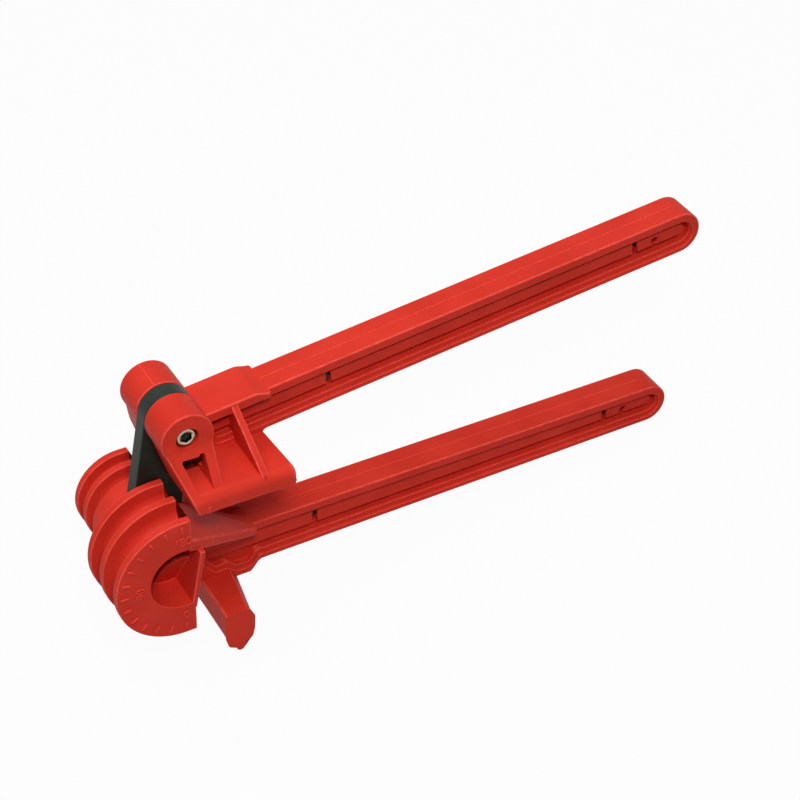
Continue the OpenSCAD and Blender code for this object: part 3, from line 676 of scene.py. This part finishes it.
lower_steps = [
    cut(recess),
    cut(mirrored(recess)),
    join(web_panel),
    join(mirrored(web_panel)),
    cut(prism(slot, straight(*SLOT_Y))),
    join(cheek(near_section)),
    join(prism(hub, behind_pocket)),
    join(prism(near_core, behind_pocket)),
    join(leaning_web(web_outline)),
    join(prism(rib, plate_rows(0, SLOT_Y[0] - 0.1, 0.5, 0.2))),
    join(cheek(far_section)),
    join(prism(far_hub, plate_rows(SLOT_Y[1] + 0.05, FORMER_W - 0.05, 0.2, 0.6))),
    join(prism(far_core, plate_rows(SLOT_Y[1], FAR_CORE_END, 0.2, 0.5))),
    join(roof(SLOT_Y[0], 0, ROOF_ENDS_Y[0], ROOF_TOPS[0])),
    join(roof(SLOT_Y[1], FORMER_W, ROOF_ENDS_Y[1], ROOF_TOPS[1])),
    join(cap),
    join(flared(prism(hook, hook_rows))),
    join(prism(far_step, plate_rows(FAR_STEP_START, FORMER_W, 0.3, HOOK_EDGE))),
    cut(rod(CENTRE_RECESS_R, CENTRE_RECESS_Y, 70)),
    *web_openings(LOWER_SLOT_X, LOWER_HOLE_X, LOWER_CORE_Z, LOWER_BEDS),
]
lower_lever = mark_edges(smoothed(mould("lower_lever_moulding", grip, lower_steps)))
in_red(lower_lever, "base")
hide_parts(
    "near_former", "far_former", "near_bridge", "far_bridge", "near_hook", "far_hook",
    "lower_head", "lower_handle",
)

# Where the pocket's web meets the floor and the rib, the moulding's inner corners are filled a little. The
# fillets are of the same red plastic and show as fine pale lines, whose paleness is a painted highlight.
CORNER_LINE_R, CORNER_LINE_PAINTED_HIGHLIGHT = 0.28, 0.8


def wire(path, r, around=10):
    """Rings of a round line along points in space: each ring stands square to the way between its
    neighbours."""
    along = np.gradient(path, axis=0)
    along /= np.linalg.norm(along, axis=1, keepdims=True)
    side = np.cross(along, (0.3, 1, 0.2))
    side /= np.linalg.norm(side, axis=1, keepdims=True)
    a = np.linspace(0, 2 * math.pi, around, endpoint=False)[None, :, None]
    return path[:, None] + r * (side[:, None] * np.cos(a) + np.cross(along, side)[:, None] * np.sin(a))


def raised_line(name, rings, tone, body):
    """A fine line of the red moulding as a piece of its own, with as much painted highlight as its tone
    says.
    """
    in_red(mark_whole(smoothed(closed_piece(name, *wrapped(rings)), 60), tone), body)


def on_web(x, z):
    """Points on the front of the leaning web."""
    return np.stack([x, web_front(z), z], 1)


floor_x = np.linspace(-6.4, 3.4, 25)
rib_t = np.linspace(0, 1, 25)
for name, path in (
    ("pocket_floor_line", on_web(floor_x, -np.sqrt(POCKET_R**2 - floor_x**2))),
    ("pocket_rib_line", on_web(3.3 + 2.7 * rib_t, -13.2 + 15.6 * rib_t)),
):
    raised_line(name, wire(path, CORNER_LINE_R), CORNER_LINE_PAINTED_HIGHLIGHT, "base")

# The dial on the former's near face: raised degree marks every 15 degrees from the bottom round to the top,
# with the plain numbers 0, 90 and 180 inside them, moulded in one with the face.
MARK_R = (22.9, 26.5)
# The marks, numbers and index mark are made paler by a painted highlight, the last of these values.
MARK_HALF_W, MARK_RISE, MARK_PAINTED_HIGHLIGHT = 0.5, 0.7, 0.4
NUMERAL_HALF_W, NUMERAL_RISE = 0.34, 0.6
ZERO_HALF = (0.95, 1.65)


def beads(paths, half_w, rise, shut):
    """Half-sunk beads: a squared-off ellipse of that half width and rise is carried along each path in X
    and Z, square to it, on the near face; on an open path it swells from a point and shrinks to one as a
    circle does."""
    paths = np.asarray(paths, float)
    if shut:
        along = np.roll(paths, -1, 1) - np.roll(paths, 1, 1)
        swell = np.ones(paths.shape[1])
    else:
        along = np.gradient(paths, axis=1)
        reach = np.linalg.norm(paths[0] - paths[0, 0], axis=1)
        from_end = np.minimum(reach, reach[-1] - reach) / half_w
        swell = np.sqrt(1 - (1 - np.clip(from_end, 0, 1)) ** 2)
    along /= np.linalg.norm(along, axis=2, keepdims=True)
    a = np.linspace(0, 2 * math.pi, 16, endpoint=False)
    aside = half_w * swell[:, None] * np.sign(np.cos(a)) * np.abs(np.cos(a)) ** 0.5
    x = paths[..., None, 0] - along[..., None, 1] * aside
    z = paths[..., None, 1] + along[..., None, 0] * aside
    y = np.broadcast_to(-rise * swell[:, None] * np.sign(np.sin(a)) * np.abs(np.sin(a)) ** 0.5, x.shape)
    return np.stack([x, y, z], -1)


def joined_beads(name, groups):
    """One piece of several groups of beads; each group is a stack of rings, shut or open on its paths."""
    points, faces, start = [], [], 0
    for rings, shut in groups:
        for one in rings:
            p, f = wrapped(one, not shut, start)
            points.append(p)
            faces += f
            start += len(p)
    return closed_piece(name, np.concatenate(points), faces)


def stroke(start, end, n=17):
    """Straight path with close points at both ends, eased as a half cosine."""
    t = (1 - np.cos(np.linspace(0, math.pi, n))) / 2
    return np.asarray(start, float) + np.multiply.outer(t, np.subtract(end, start))


def nine_tail(at, n=17):
    """Tail of a nine: a quarter ellipse from the loop's right-hand side down to the foot."""
    a = np.linspace(0, math.pi / 2, n)
    return np.stack([at[0] - 0.55 + 1.5 * np.cos(a), at[1] + 0.75 - 2.4 * np.sin(a)], 1)


degrees = np.radians(np.arange(0, 181, 15))
outward = np.stack([-np.sin(degrees), -np.cos(degrees)], 1)
marks = np.stack([stroke(MARK_R[0] * d, MARK_R[1] * d) for d in outward])
top_mid, low_mid, side_mid = np.array([0.1, 19.0]), np.array([0.2, -18.6]), np.array([-18.3, 0.0])


def sideways(path):
    """A path turned a quarter turn to the left and moved to the number on the former's left."""
    return np.stack([side_mid[0] - path[:, 1], side_mid[1] + path[:, 0]], 1)


number_loops = np.stack([
    loop(low_mid, *ZERO_HALF),
    loop(top_mid + (0, -0.85), 0.95, 0.85),
    loop(top_mid + (0, 0.85), 0.85, 0.8),
    loop(top_mid + (2.5, 0), *ZERO_HALF),
    sideways(loop((-1.4, 0.75), 0.95, 0.9)),
    sideways(loop((1.4, 0), *ZERO_HALF)),
])
one = stroke(top_mid + (-2.3, -1.85), top_mid + (-2.3, 1.85))
dial = smoothed(joined_beads("dial_marks", [
    (beads(marks, MARK_HALF_W, MARK_RISE, False), False),
    (beads(number_loops, NUMERAL_HALF_W, NUMERAL_RISE, True), True),
    (beads([one, sideways(nine_tail((-1.4, 0)))], NUMERAL_HALF_W, NUMERAL_RISE, False), False),
]), 60)
in_red(mark_whole(dial, MARK_PAINTED_HIGHLIGHT), "base")

# A flat steel bar stiffens each handle. It is rolled stock laid in a hollow of the moulding, and only a
# little of it shows, in two slots through the web.
STEEL_SHADES = ((0.12, 0.12, 0.11), (0.22, 0.22, 0.2))


def metal(name, shades, rough, grain_mm, grain_depth, stretch=(1, 1, 1)):
    """Metal in two shades blended through a noise, with a roughness that sways between two values and a
    fine grain as relief; the stretch draws the grain out along an axis."""
    made, tree, shader, place = new_finish(name)
    shader.inputs["Metallic"].default_value = 1
    drawn = tree.nodes.new("ShaderNodeMapping")
    drawn.inputs["Scale"].default_value = stretch
    tree.links.new(place, drawn.inputs["Vector"])
    sway = clouds(tree, drawn.outputs["Vector"], 4, 4)
    tree.links.new(two_tone(tree, sway, (0.32, 0.7), shades), shader.inputs["Base Color"])
    tree.links.new(spread(tree, sway, *rough), shader.inputs["Roughness"])
    relief(tree, shader, clouds(tree, drawn.outputs["Vector"], grain_mm, 3), 0.3, grain_depth)
    return made


def dressed(node, finish):
    """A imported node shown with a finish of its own."""
    mesh = frame["nodes"][node].data
    mesh.materials.clear()
    mesh.materials.append(finish)


rolled_steel = metal("rolled steel", STEEL_SHADES, (0.35, 0.55), 0.5, 0.00002, (0.15, 1, 1))
dressed("lower_handle_core", rolled_steel)
dressed("upper_handle_core", rolled_steel)

# The centre pivot: a socket bolt from the far side with a washer under its head, in a nut held beside the
# slot. All three are plated bright.
CENTRE_HEAD_R, CENTRE_SEAT_Y, CENTRE_HEAD_H, CENTRE_KEY = 5.0, 55.78, 6.0, 4.8
CENTRE_SHANK_R, CENTRE_SHANK = 3, 34.41
CENTRE_NUT_Y, CENTRE_NUT_H, CENTRE_NUT_AF = 22.37, 5.7, 9.8
WASHER_T = 1.2
PLATE_SHADES = ((0.34, 0.31, 0.23), (0.52, 0.49, 0.4))
KEY_HOLE_PAINTED_SHADES = ((0.015, 0.014, 0.013), (0.05, 0.047, 0.04))


def hexagon(af, angle):
    """Radius of a hexagon of that width across flats, at angles about its middle."""
    return af / 2 / np.cos((angle + math.pi / 6) % (math.pi / 3) - math.pi / 6)


def corner_r(af):
    """Radius of a hexagon's corners."""
    return af / 2 / math.cos(math.pi / 6)


def lathe(rows, at, around=96):
    """Rings about an axis along Y: each row holds a depth, a radius, and the width of a hexagon that
    replaces the circle (zero for none) or, where the radius is smaller, is cut by it."""
    angle = np.linspace(0, 2 * math.pi, around, endpoint=False)
    y, r, af = (np.asarray(rows, float)[:, i, None] for i in range(3))
    flat = np.where(af > 0, np.minimum(r, hexagon(np.maximum(af, 1e-9), angle)), r)
    x, z = at[0] + flat * np.cos(angle), at[1] + flat * np.sin(angle)
    return np.stack([x, np.broadcast_to(y, flat.shape), z], -1)


def socket_bolt(seat_y, toward, head_r, head_h, key_af, shank_r, shank_len, at):
    """Rings of a socket bolt from its tail to the bottom of its key hole: shank, flat underside, head with
    a rounded edge and a low dome, and a six-sided hole with a bevelled mouth. Toward is the head's side."""
    a = np.linspace(0, math.pi / 2, 7)
    edge, dome, bevel, corner = 1.2, 0.45, 0.35, corner_r(key_af)
    rim = head_r - edge
    slope = np.linspace(rim, corner + bevel, 6)[1:]
    rows = [(-shank_len, 0, 0), (-shank_len, shank_r - 0.5, 0), (-shank_len + 0.5, shank_r, 0),
            (0, shank_r, 0), (0, head_r - 0.15, 0), (0.15, head_r, 0)]
    rows += [(head_h - dome - edge * (1 - math.sin(t)), rim + edge * math.cos(t), 0) for t in a]
    rows += [(head_h - dome * (r / rim) ** 2, r, 0) for r in slope]
    mouth_y = rows[-1][0]
    rows += [(mouth_y - bevel, corner, key_af), (head_h / 2, corner, key_af), (head_h / 2 - 0.8, 0, 0)]
    rows = np.array(rows)
    rows[:, 0] = seat_y + toward * rows[:, 0]
    return lathe(rows, at)


def hex_nut(y0, height, af, bore_r, at):
    """Rings of a nut round from its bore and back to it: six sides, cut by a cone at both ends."""
    tip = corner_r(af) + 0.01
    low = af / 2 * 0.97
    rows = [(0.3, bore_r, 0), (0, bore_r + 0.3, 0), (0, low, af), (0.55, tip, af), (height - 0.55, tip, af),
            (height, low, af), (height, bore_r + 0.3, 0), (height - 0.3, bore_r, 0)]
    return lathe(np.array(rows) + (y0, 0, 0), at)


def washer(y0, r, bore_r, at):
    """Rings of a stamped washer: rounded on the edge of one face, sharp on the other."""
    rows = [(0, bore_r, 0), (0, r - 0.35, 0), (0.1, r - 0.1, 0), (0.35, r, 0), (WASHER_T, r, 0),
            (WASHER_T, bore_r, 0)]
    return lathe(np.array(rows) + (y0, 0, 0), at)


def turned_piece(name, rings, ring_shaped, body, node):
    """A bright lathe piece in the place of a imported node, riding with its body."""
    obj = smoothed(closed_piece(name, *wrapped(rings, ends=not ring_shaped)), 32)
    obj.data.materials.append(bright_plate)
    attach(obj, body)
    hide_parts(node)
    return obj


def paint_key_hole_shade(obj, seat_y, toward, head_h, key_af, at, mouth=0.8):
    """Painted shade on the walls of a bolt's key hole, as a near-black metal finish: the faces on the
    head's side of its seat that lie nearer its axis than the hexagon's corners and deeper than the bevelled
    mouth."""
    faces = obj.data.polygons
    middle = np.empty(len(faces) * 3)
    faces.foreach_get("center", middle)
    reach = (middle.reshape(-1, 3) - stand([at[0], seat_y, at[1]])) * 1000
    inside = np.hypot(reach[:, 0], reach[:, 2]) < corner_r(key_af)
    height = toward * reach[:, 1]
    inside &= (height > 0) & (height < head_h - mouth)
    obj.data.materials.append(painted_key_shade)
    faces.foreach_set("material_index", inside.astype(np.int32))


bright_plate = metal("bright plating", PLATE_SHADES, (0.06, 0.16), 0.35, 0.00001)
# The key holes' near-black finish is painted shade.
painted_key_shade = metal("key hole painted shade", KEY_HOLE_PAINTED_SHADES, (0.35, 0.55), 0.35, 0.00001)
axis = np.zeros(2)
centre_bolt = turned_piece("centre_bolt", socket_bolt(
    CENTRE_SEAT_Y, 1, CENTRE_HEAD_R, CENTRE_HEAD_H, CENTRE_KEY, CENTRE_SHANK_R, CENTRE_SHANK, axis,
), False, "base", "centre_pivot_bolt")
paint_key_hole_shade(centre_bolt, CENTRE_SEAT_Y, 1, CENTRE_HEAD_H, CENTRE_KEY, axis)
centre_nut = hex_nut(CENTRE_NUT_Y, CENTRE_NUT_H, CENTRE_NUT_AF, CENTRE_SHANK_R, axis)
turned_piece("centre_nut", centre_nut, True, "base", "centre_pivot_nut")
centre_washer = washer(CENTRE_SEAT_Y - WASHER_T, 6, CENTRE_SHANK_R + 0.1, axis)
turned_piece("centre_washer", centre_washer, True, "base", "centre_pivot_washer")

# The link is a stamped steel plate with round ends, coated black, that swings in the former's slot and
# carries the upper lever; a bronze bush is pressed into each of its two eyes.
LINK_Y = (28.67, 35.67)
LINK_HALF_W, LINK_LEN = 10.6, 57.3
LINK_EDGE = 0.55
LOWER_EYE_R, UPPER_EYE_R = 4.55, 4.05
PIVOT = LINK_LEN * np.array([math.sin(LINK_LEAN), math.cos(LINK_LEAN)])
BLACK_SHADES = tuple((0.7 * tone, 1.15 * tone, 0.8 * tone) for tone in (0.009, 0.02))
BRONZE_SHADES = ((0.42, 0.26, 0.1), (0.55, 0.36, 0.16))


def black_coat():
    """Thin black coating on steel: dark grey clouds, a satin that varies, and a fine orange-peel relief."""
    made, tree, shader, place = new_finish("black coating")
    sway = clouds(tree, place, 9, 5)
    tree.links.new(two_tone(tree, sway, (0.3, 0.75), BLACK_SHADES), shader.inputs["Base Color"])
    tree.links.new(spread(tree, sway, 0.4, 0.55), shader.inputs["Roughness"])
    shader.inputs["Specular IOR Level"].default_value = 0.2
    relief(tree, shader, clouds(tree, place, 0.8, 2), 0.3, 0.00005)
    return made


link_outline = rounded(
    leaned(box(-LINK_HALF_W, LINK_HALF_W, -LINK_HALF_W, LINK_LEN + LINK_HALF_W)), LINK_HALF_W * 0.999, 24)
link = smoothed(mould("link_bar", form(prism(link_outline, plate_rows(*LINK_Y, LINK_EDGE, LINK_EDGE))), [
    cut(rod(LOWER_EYE_R, *WEB_CUT_Y)),
    cut(rod(UPPER_EYE_R, *WEB_CUT_Y, PIVOT)),
]))
link.data.materials.append(black_coat())
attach(link, "link")
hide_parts("link_plate")
bronze = metal("oiled bronze", BRONZE_SHADES, (0.3, 0.48), 0.4, 0.00002)
dressed("lower_link_bush", bronze)
dressed("upper_link_bush", bronze)

# The upper lever is a second red moulding: two bosses for the pivot bolt on a clevis, a shoe that wipes the
# tube round the former, and a handle that splays up from the lower one.
BOSS_R, BOSS_LEN = 10.9, 15.6
NEAR_SHOE_Z, FAR_SHOE_Z, LIP_Z = 28.6, 19.8, 36.4
SHOE_X, SHOE_ENDS, SHOE_SLANT = (7.7, 49.5), (0.8, 1.8), 2.4
CLEVIS_FOOT_Y = (0.9, 3.4)
GUSSET_X, GUSSET_T, GUSSET_TOP = 35.7, 3, (56.6, 57.3)
SPLAY = math.radians(6.6)
HANDLE_X, HANDLE_Z = 49.5, 58.1
UPPER_H, UPPER_LEN, UPPER_HEAD = 18.9, 200.68, 31.75
UPPER_SLOT_X, UPPER_HOLE_X, UPPER_CORE_Z = (26.5, 170.18), 180.18, -9.9
UPPER_BEDS = ((26.5, -11.2, -7), (170.18, -11.2, -7), (180.18, -13.3, -7, 1.6))
WELL_X, WELL_START, WELL_TOP, WELL_EDGE = (9.2, 18.3), 17.6, 46, 0.5
HEAD_HOLE_R, UPPER_SEAT_Y = 4.75, 18.27
NUT_HOLE_R, NUT_HOLE_Y = 5.3, 45.12


def splayed(points):
    """Points of the upper handle's own frame, along it, across it and up, in the lower lever's frame."""
    u, y, w = np.moveaxis(np.asarray(points, float), -1, 0)
    c, s = math.cos(SPLAY), math.sin(SPLAY)
    return np.stack([HANDLE_X + u * c - w * s, y, HANDLE_Z + u * s + w * c], -1)


def under_handle(x):
    """Height of the upper handle's underside over a place along the shoe."""
    return HANDLE_Z + (x - HANDLE_X) * math.tan(SPLAY) - UPPER_H / math.cos(SPLAY)


def leg_x(z):
    """Front edge of the clevis, on a line from the boss's side to the shoe's start."""
    return PIVOT[0] - BOSS_R + (SHOE_X[0] - PIVOT[0] + BOSS_R) * (PIVOT[1] - z) / (PIVOT[1] - NEAR_SHOE_Z)


def clevis(width, shoe_z):
    """One cheek of the clevis: four-sided sections at four heights, narrow at the boss and widening
    outwards down to the shoe's edge."""
    heights = np.array([shoe_z + 1, LIP_Z - 1, PIVOT[1] - BOSS_R / 2, PIVOT[1]])
    boss_y = width - BOSS_LEN
    front_y, back_y = (np.array([foot, foot, boss_y, boss_y]) for foot in CLEVIS_FOOT_Y)
    back_x = PIVOT[0] + BOSS_R - 1.2 * (PIVOT[1] - heights) / (PIVOT[1] - NEAR_SHOE_Z)
    rings = []
    for z, y0, y1, x1 in zip(heights, front_y, back_y, back_x):
        flat = rounded([(leg_x(z), y0), (x1, y1), (x1, width), (leg_x(z), width)], [0.9, 0.9, 0.3, 0.3])
        rings.append(np.insert(flat, 2, z, axis=1))
    return np.stack(rings)


def gusset(width):
    """The leaning wall behind the clevis: its front slopes from under the cap down to the shoe's edge."""
    heights = np.array([LIP_Z - 4, LIP_Z + 0.4, *GUSSET_TOP])
    inner = width - 6.9
    outer = np.array([CLEVIS_FOOT_Y[0], CLEVIS_FOOT_Y[0], inner, inner + 0.4])
    left = GUSSET_X - (heights - NEAR_SHOE_Z) * math.tan(SPLAY)
    rings = []
    for z, y, x0 in zip(heights, outer, left):
        flat = rounded(box(x0, x0 + GUSSET_T, y, width + 1.5), [0.7, 0.7, 0.2, 0.2])
        rings.append(np.insert(flat, 2, z, axis=1))
    return np.stack(rings)


def shoe(width, shoe_z):
    """A thick bar whose edge is rounded over, drawn along X with rounded ends; its left-hand end follows
    the clevis, and its right-hand end slants back from the edge to the lever."""
    corners = [(0, shoe_z), (width, shoe_z), (width, LIP_Z + 2), (0, LIP_Z)]
    section = rounded(corners, [0.7, 0.2, 0.2, 4.2], 8)
    rings = prism(section, plate_rows(*SHOE_X, *SHOE_ENDS))[..., [1, 0, 2]]
    right_hand = rings[..., 0] > sum(SHOE_X) / 2
    slant = np.clip(rings[..., 1] / (width - 2.7), 0, 1) * SHOE_SLANT
    rings[..., 0] += np.where(right_hand, -slant, leg_x(rings[..., 2]) - SHOE_X[0])
    return rings


def head_cap(low=-2.4, high=2.0, slope=7.0, edge=0.7):
    """Rings of the cap over the lever's head, along the handle: a rounded section whose top falls to the
    handle's by a half cosine over the last of its length, and whose end is rounded in plan as a quarter
    circle."""
    t = np.linspace(0, 1, 15)
    u = np.concatenate([[-UPPER_HEAD], slope * (t - 1)])
    top = np.concatenate([[high], high * (1 + np.cos(math.pi * t)) / 2 + 0.02])
    past = np.clip((slope * (t - 1) + edge) / edge, 0, 1)
    inset = np.concatenate([[0], edge * (1 - np.sqrt(1 - past**2))])
    rings = []
    for along, height, narrow in zip(u, top, inset):
        flat = rounded(box(CAP_Y[0] + narrow, CAP_Y[1] - narrow, low, height), [0.4, 0.4, edge, edge])
        rings.append(np.insert(flat, 0, along, axis=1))
    return np.stack(rings)


def far_side(rings):
    """Rings turned over to the far end of the former."""
    return rings * (1, -1, 1) + (0, FORMER_W, 0)


tip_low = -UPPER_H
handle_ends = [(UPPER_LEN, 0, tip_low), (UPPER_LEN, 0, 0), (-UPPER_HEAD, 0, 0), (-UPPER_HEAD, 0, tip_low)]
upper_outline = rounded(
    [(PIVOT[0], NEAR_SHOE_Z), (46.6, NEAR_SHOE_Z), (46.6, under_handle(46.6)),
     *splayed(handle_ends)[:, [0, 2]], (PIVOT[0], under_handle(PIVOT[0]))],
    [0.4, 0.4, 2.5, 9.3, 9.3, 0.6, 0.3, 0.3], 10,
)
upper_body = form(prism(upper_outline, plate_rows(*GRIP_Y, GRIP_EDGE, GRIP_EDGE)))
upper_mouth = rounded(
    [(-25.75, -3.9), (-25.75, tip_low + 2.4), (UPPER_LEN - 3.3, tip_low + 2.4), (UPPER_LEN - 3.3, -3.9)],
    [2.6, 3, 6.2, 6.2], 8,
)
upper_recess = splayed(stepped_recess(upper_mouth))
panel_outline = rounded(box(-24, UPPER_LEN - 6.5, tip_low + 7.3, -6.6), [0.6, 2.4, 2.4, 0.6], 8)
upper_panel = splayed(panel(panel_outline))
cap_slit = rounded([(-25.5, -8.5), (-14, -7.5), (-1.5, -7.4), (-1.5, -4.5), (-25.5, -4.5)], 0.2)
cap_slit = splayed(prism(cap_slit, straight(GRIP_Y[0] + 2, 31.5)))
link_room = prism(leaned(box(-80, LINK_ROOM_X, -80, 120)), straight(*SLOT_Y))
near_w, far_w = SLOT_Y[0], FORMER_W - SLOT_Y[1]
clevis_window = rounded(
    [(9.65, 34), (15.75, 34), (15.75, 48.9), (13.9, 48.9), (13.2, 48.2), (5.9, 48.3)],
    [0.6, 0.6, 0.4, 0.3, 0.3, 0.7],
)
window_well = rounded(box(*WELL_X, 29.8, WELL_TOP), WELL_EDGE)
window_flare = np.concatenate([
    prism(rounded(box(WELL_X[0], right, 39.4, WELL_TOP), WELL_EDGE), np.array([[y, 0]]))
    for right, y in ((15.6, 12.0), (WELL_X[1], 20.0))
])
window_cut = plate_rows(-1, near_w - 3.2, 0.1, 0.6)

near_clevis = mould("near clevis", form(clevis(near_w, NEAR_SHOE_Z)), [
    join(rod(BOSS_R, near_w - BOSS_LEN, near_w, PIVOT, 0.5)),
    cut(prism(clevis_window, window_cut)),
])
far_clevis = mould("far clevis", form(far_side(clevis(far_w, FAR_SHOE_Z))), [
    join(far_side(rod(BOSS_R, far_w - BOSS_LEN, far_w, PIVOT, 0.5))),
    cut(far_side(prism(clevis_window, window_cut - (near_w - far_w, 0)))),
])
upper_steps = [
    cut(upper_recess),
    cut(mirrored(upper_recess)),
    join(upper_panel),
    join(mirrored(upper_panel)),
    cut(cap_slit),
    cut(mirrored(cap_slit)),
    join(splayed(head_cap())),
    cut(link_room),
    ("UNION", near_clevis),
    ("UNION", far_clevis),
    join(shoe(near_w, NEAR_SHOE_Z)),
    join(far_side(shoe(far_w, FAR_SHOE_Z))),
    join(gusset(near_w)),
    join(far_side(gusset(far_w))),
    cut(prism(window_well, straight(WELL_START, SLOT_Y[0] + 0.1))),
    cut(window_flare),
    cut(rod(HEAD_HOLE_R, 5, UPPER_SEAT_Y, PIVOT)),
    cut(rod(NUT_HOLE_R, NUT_HOLE_Y, 60, PIVOT)),
    *web_openings(UPPER_SLOT_X, UPPER_HOLE_X, UPPER_CORE_Z, UPPER_BEDS, splayed),
]
upper_lever = mark_edges(smoothed(mould("upper_lever_moulding", upper_body, upper_steps)))
in_red(upper_lever, "upper")
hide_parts("near_shoe", "far_shoe", "upper_handle")

# A raised mark on the shoe's near edge reads against the dial, and a fine seam from the two halves of the
# mould runs along the top of both handles and of the far boss.
INDEX_X, INDEX_TOP = 11.9, 32.1
# The seams are made paler by a painted highlight, the last of these values.
SEAM_HALF_W, SEAM_RISE, SEAM_LEN, SEAM_PAINTED_HIGHLIGHT = 0.22, 0.1, 192, 0.7
BOSS_SEAM_LEN, BOSS_SEAM_TURN = 15.3, math.radians(104)
index_path = stroke((INDEX_X, NEAR_SHOE_Z + 0.3), (INDEX_X, INDEX_TOP))
index_bead = beads([index_path], MARK_HALF_W, MARK_RISE, False)
index = smoothed(joined_beads("index_mark", [(index_bead, False)]), 60)
in_red(mark_whole(index, MARK_PAINTED_HIGHLIGHT), "upper")


def seam(length):
    """A low half-sunk bead along X on a flat top, before it is put in place."""
    rings = beads([stroke((0, 0), (length, 0), 41)], SEAM_HALF_W, SEAM_RISE, False)[0]
    return np.stack([rings[..., 0], rings[..., 2], -rings[..., 1]], -1)


lower_seam = seam(SEAM_LEN) + (HEAD_END, SLOT_MID_Y, GRIP_TOP)
raised_line("lower_handle_seam", lower_seam, SEAM_PAINTED_HIGHLIGHT, "base")
raised_line("upper_handle_seam", splayed(seam(SEAM_LEN) + (0, SLOT_MID_Y, 0)), SEAM_PAINTED_HIGHLIGHT, "upper")
along, across, rise = np.moveaxis(seam(BOSS_SEAM_LEN), -1, 0)
turn = BOSS_SEAM_TURN + across / BOSS_R
x, z = PIVOT[0] + (BOSS_R + rise) * np.cos(turn), PIVOT[1] + (BOSS_R + rise) * np.sin(turn)
raised_line("far_boss_seam", np.stack([x, SLOT_Y[1] + 0.1 + along, z], -1), SEAM_PAINTED_HIGHLIGHT, "upper")

# The upper pivot: a bright socket bolt sunk in the near boss, through the link's eye, with a washer and a
# nut sunk in the far boss. All three are plated like the centre pivot's.
UPPER_NUT_Y, UPPER_NUT_H, UPPER_NUT_AF = 46.32, 4.75, 8.3
UPPER_HEAD_R, UPPER_HEAD_H, UPPER_KEY = 4.25, 5, 4.4
UPPER_SHANK_R, UPPER_SHANK = 2.5, 32.8
upper_bolt = turned_piece("upper_bolt", socket_bolt(
    UPPER_SEAT_Y, -1, UPPER_HEAD_R, UPPER_HEAD_H, UPPER_KEY, UPPER_SHANK_R, UPPER_SHANK, PIVOT,
), False, "upper", "upper_pivot_bolt")
paint_key_hole_shade(upper_bolt, UPPER_SEAT_Y, -1, UPPER_HEAD_H, UPPER_KEY, PIVOT)
upper_nut = hex_nut(UPPER_NUT_Y, UPPER_NUT_H, UPPER_NUT_AF, UPPER_SHANK_R, PIVOT)
turned_piece("upper_nut", upper_nut, True, "upper", "upper_pivot_nut")
upper_washer = washer(UPPER_NUT_Y - WASHER_T, 5, UPPER_SHANK_R + 0.1, PIVOT)
turned_piece("upper_washer", upper_washer, True, "upper", "upper_pivot_washer")
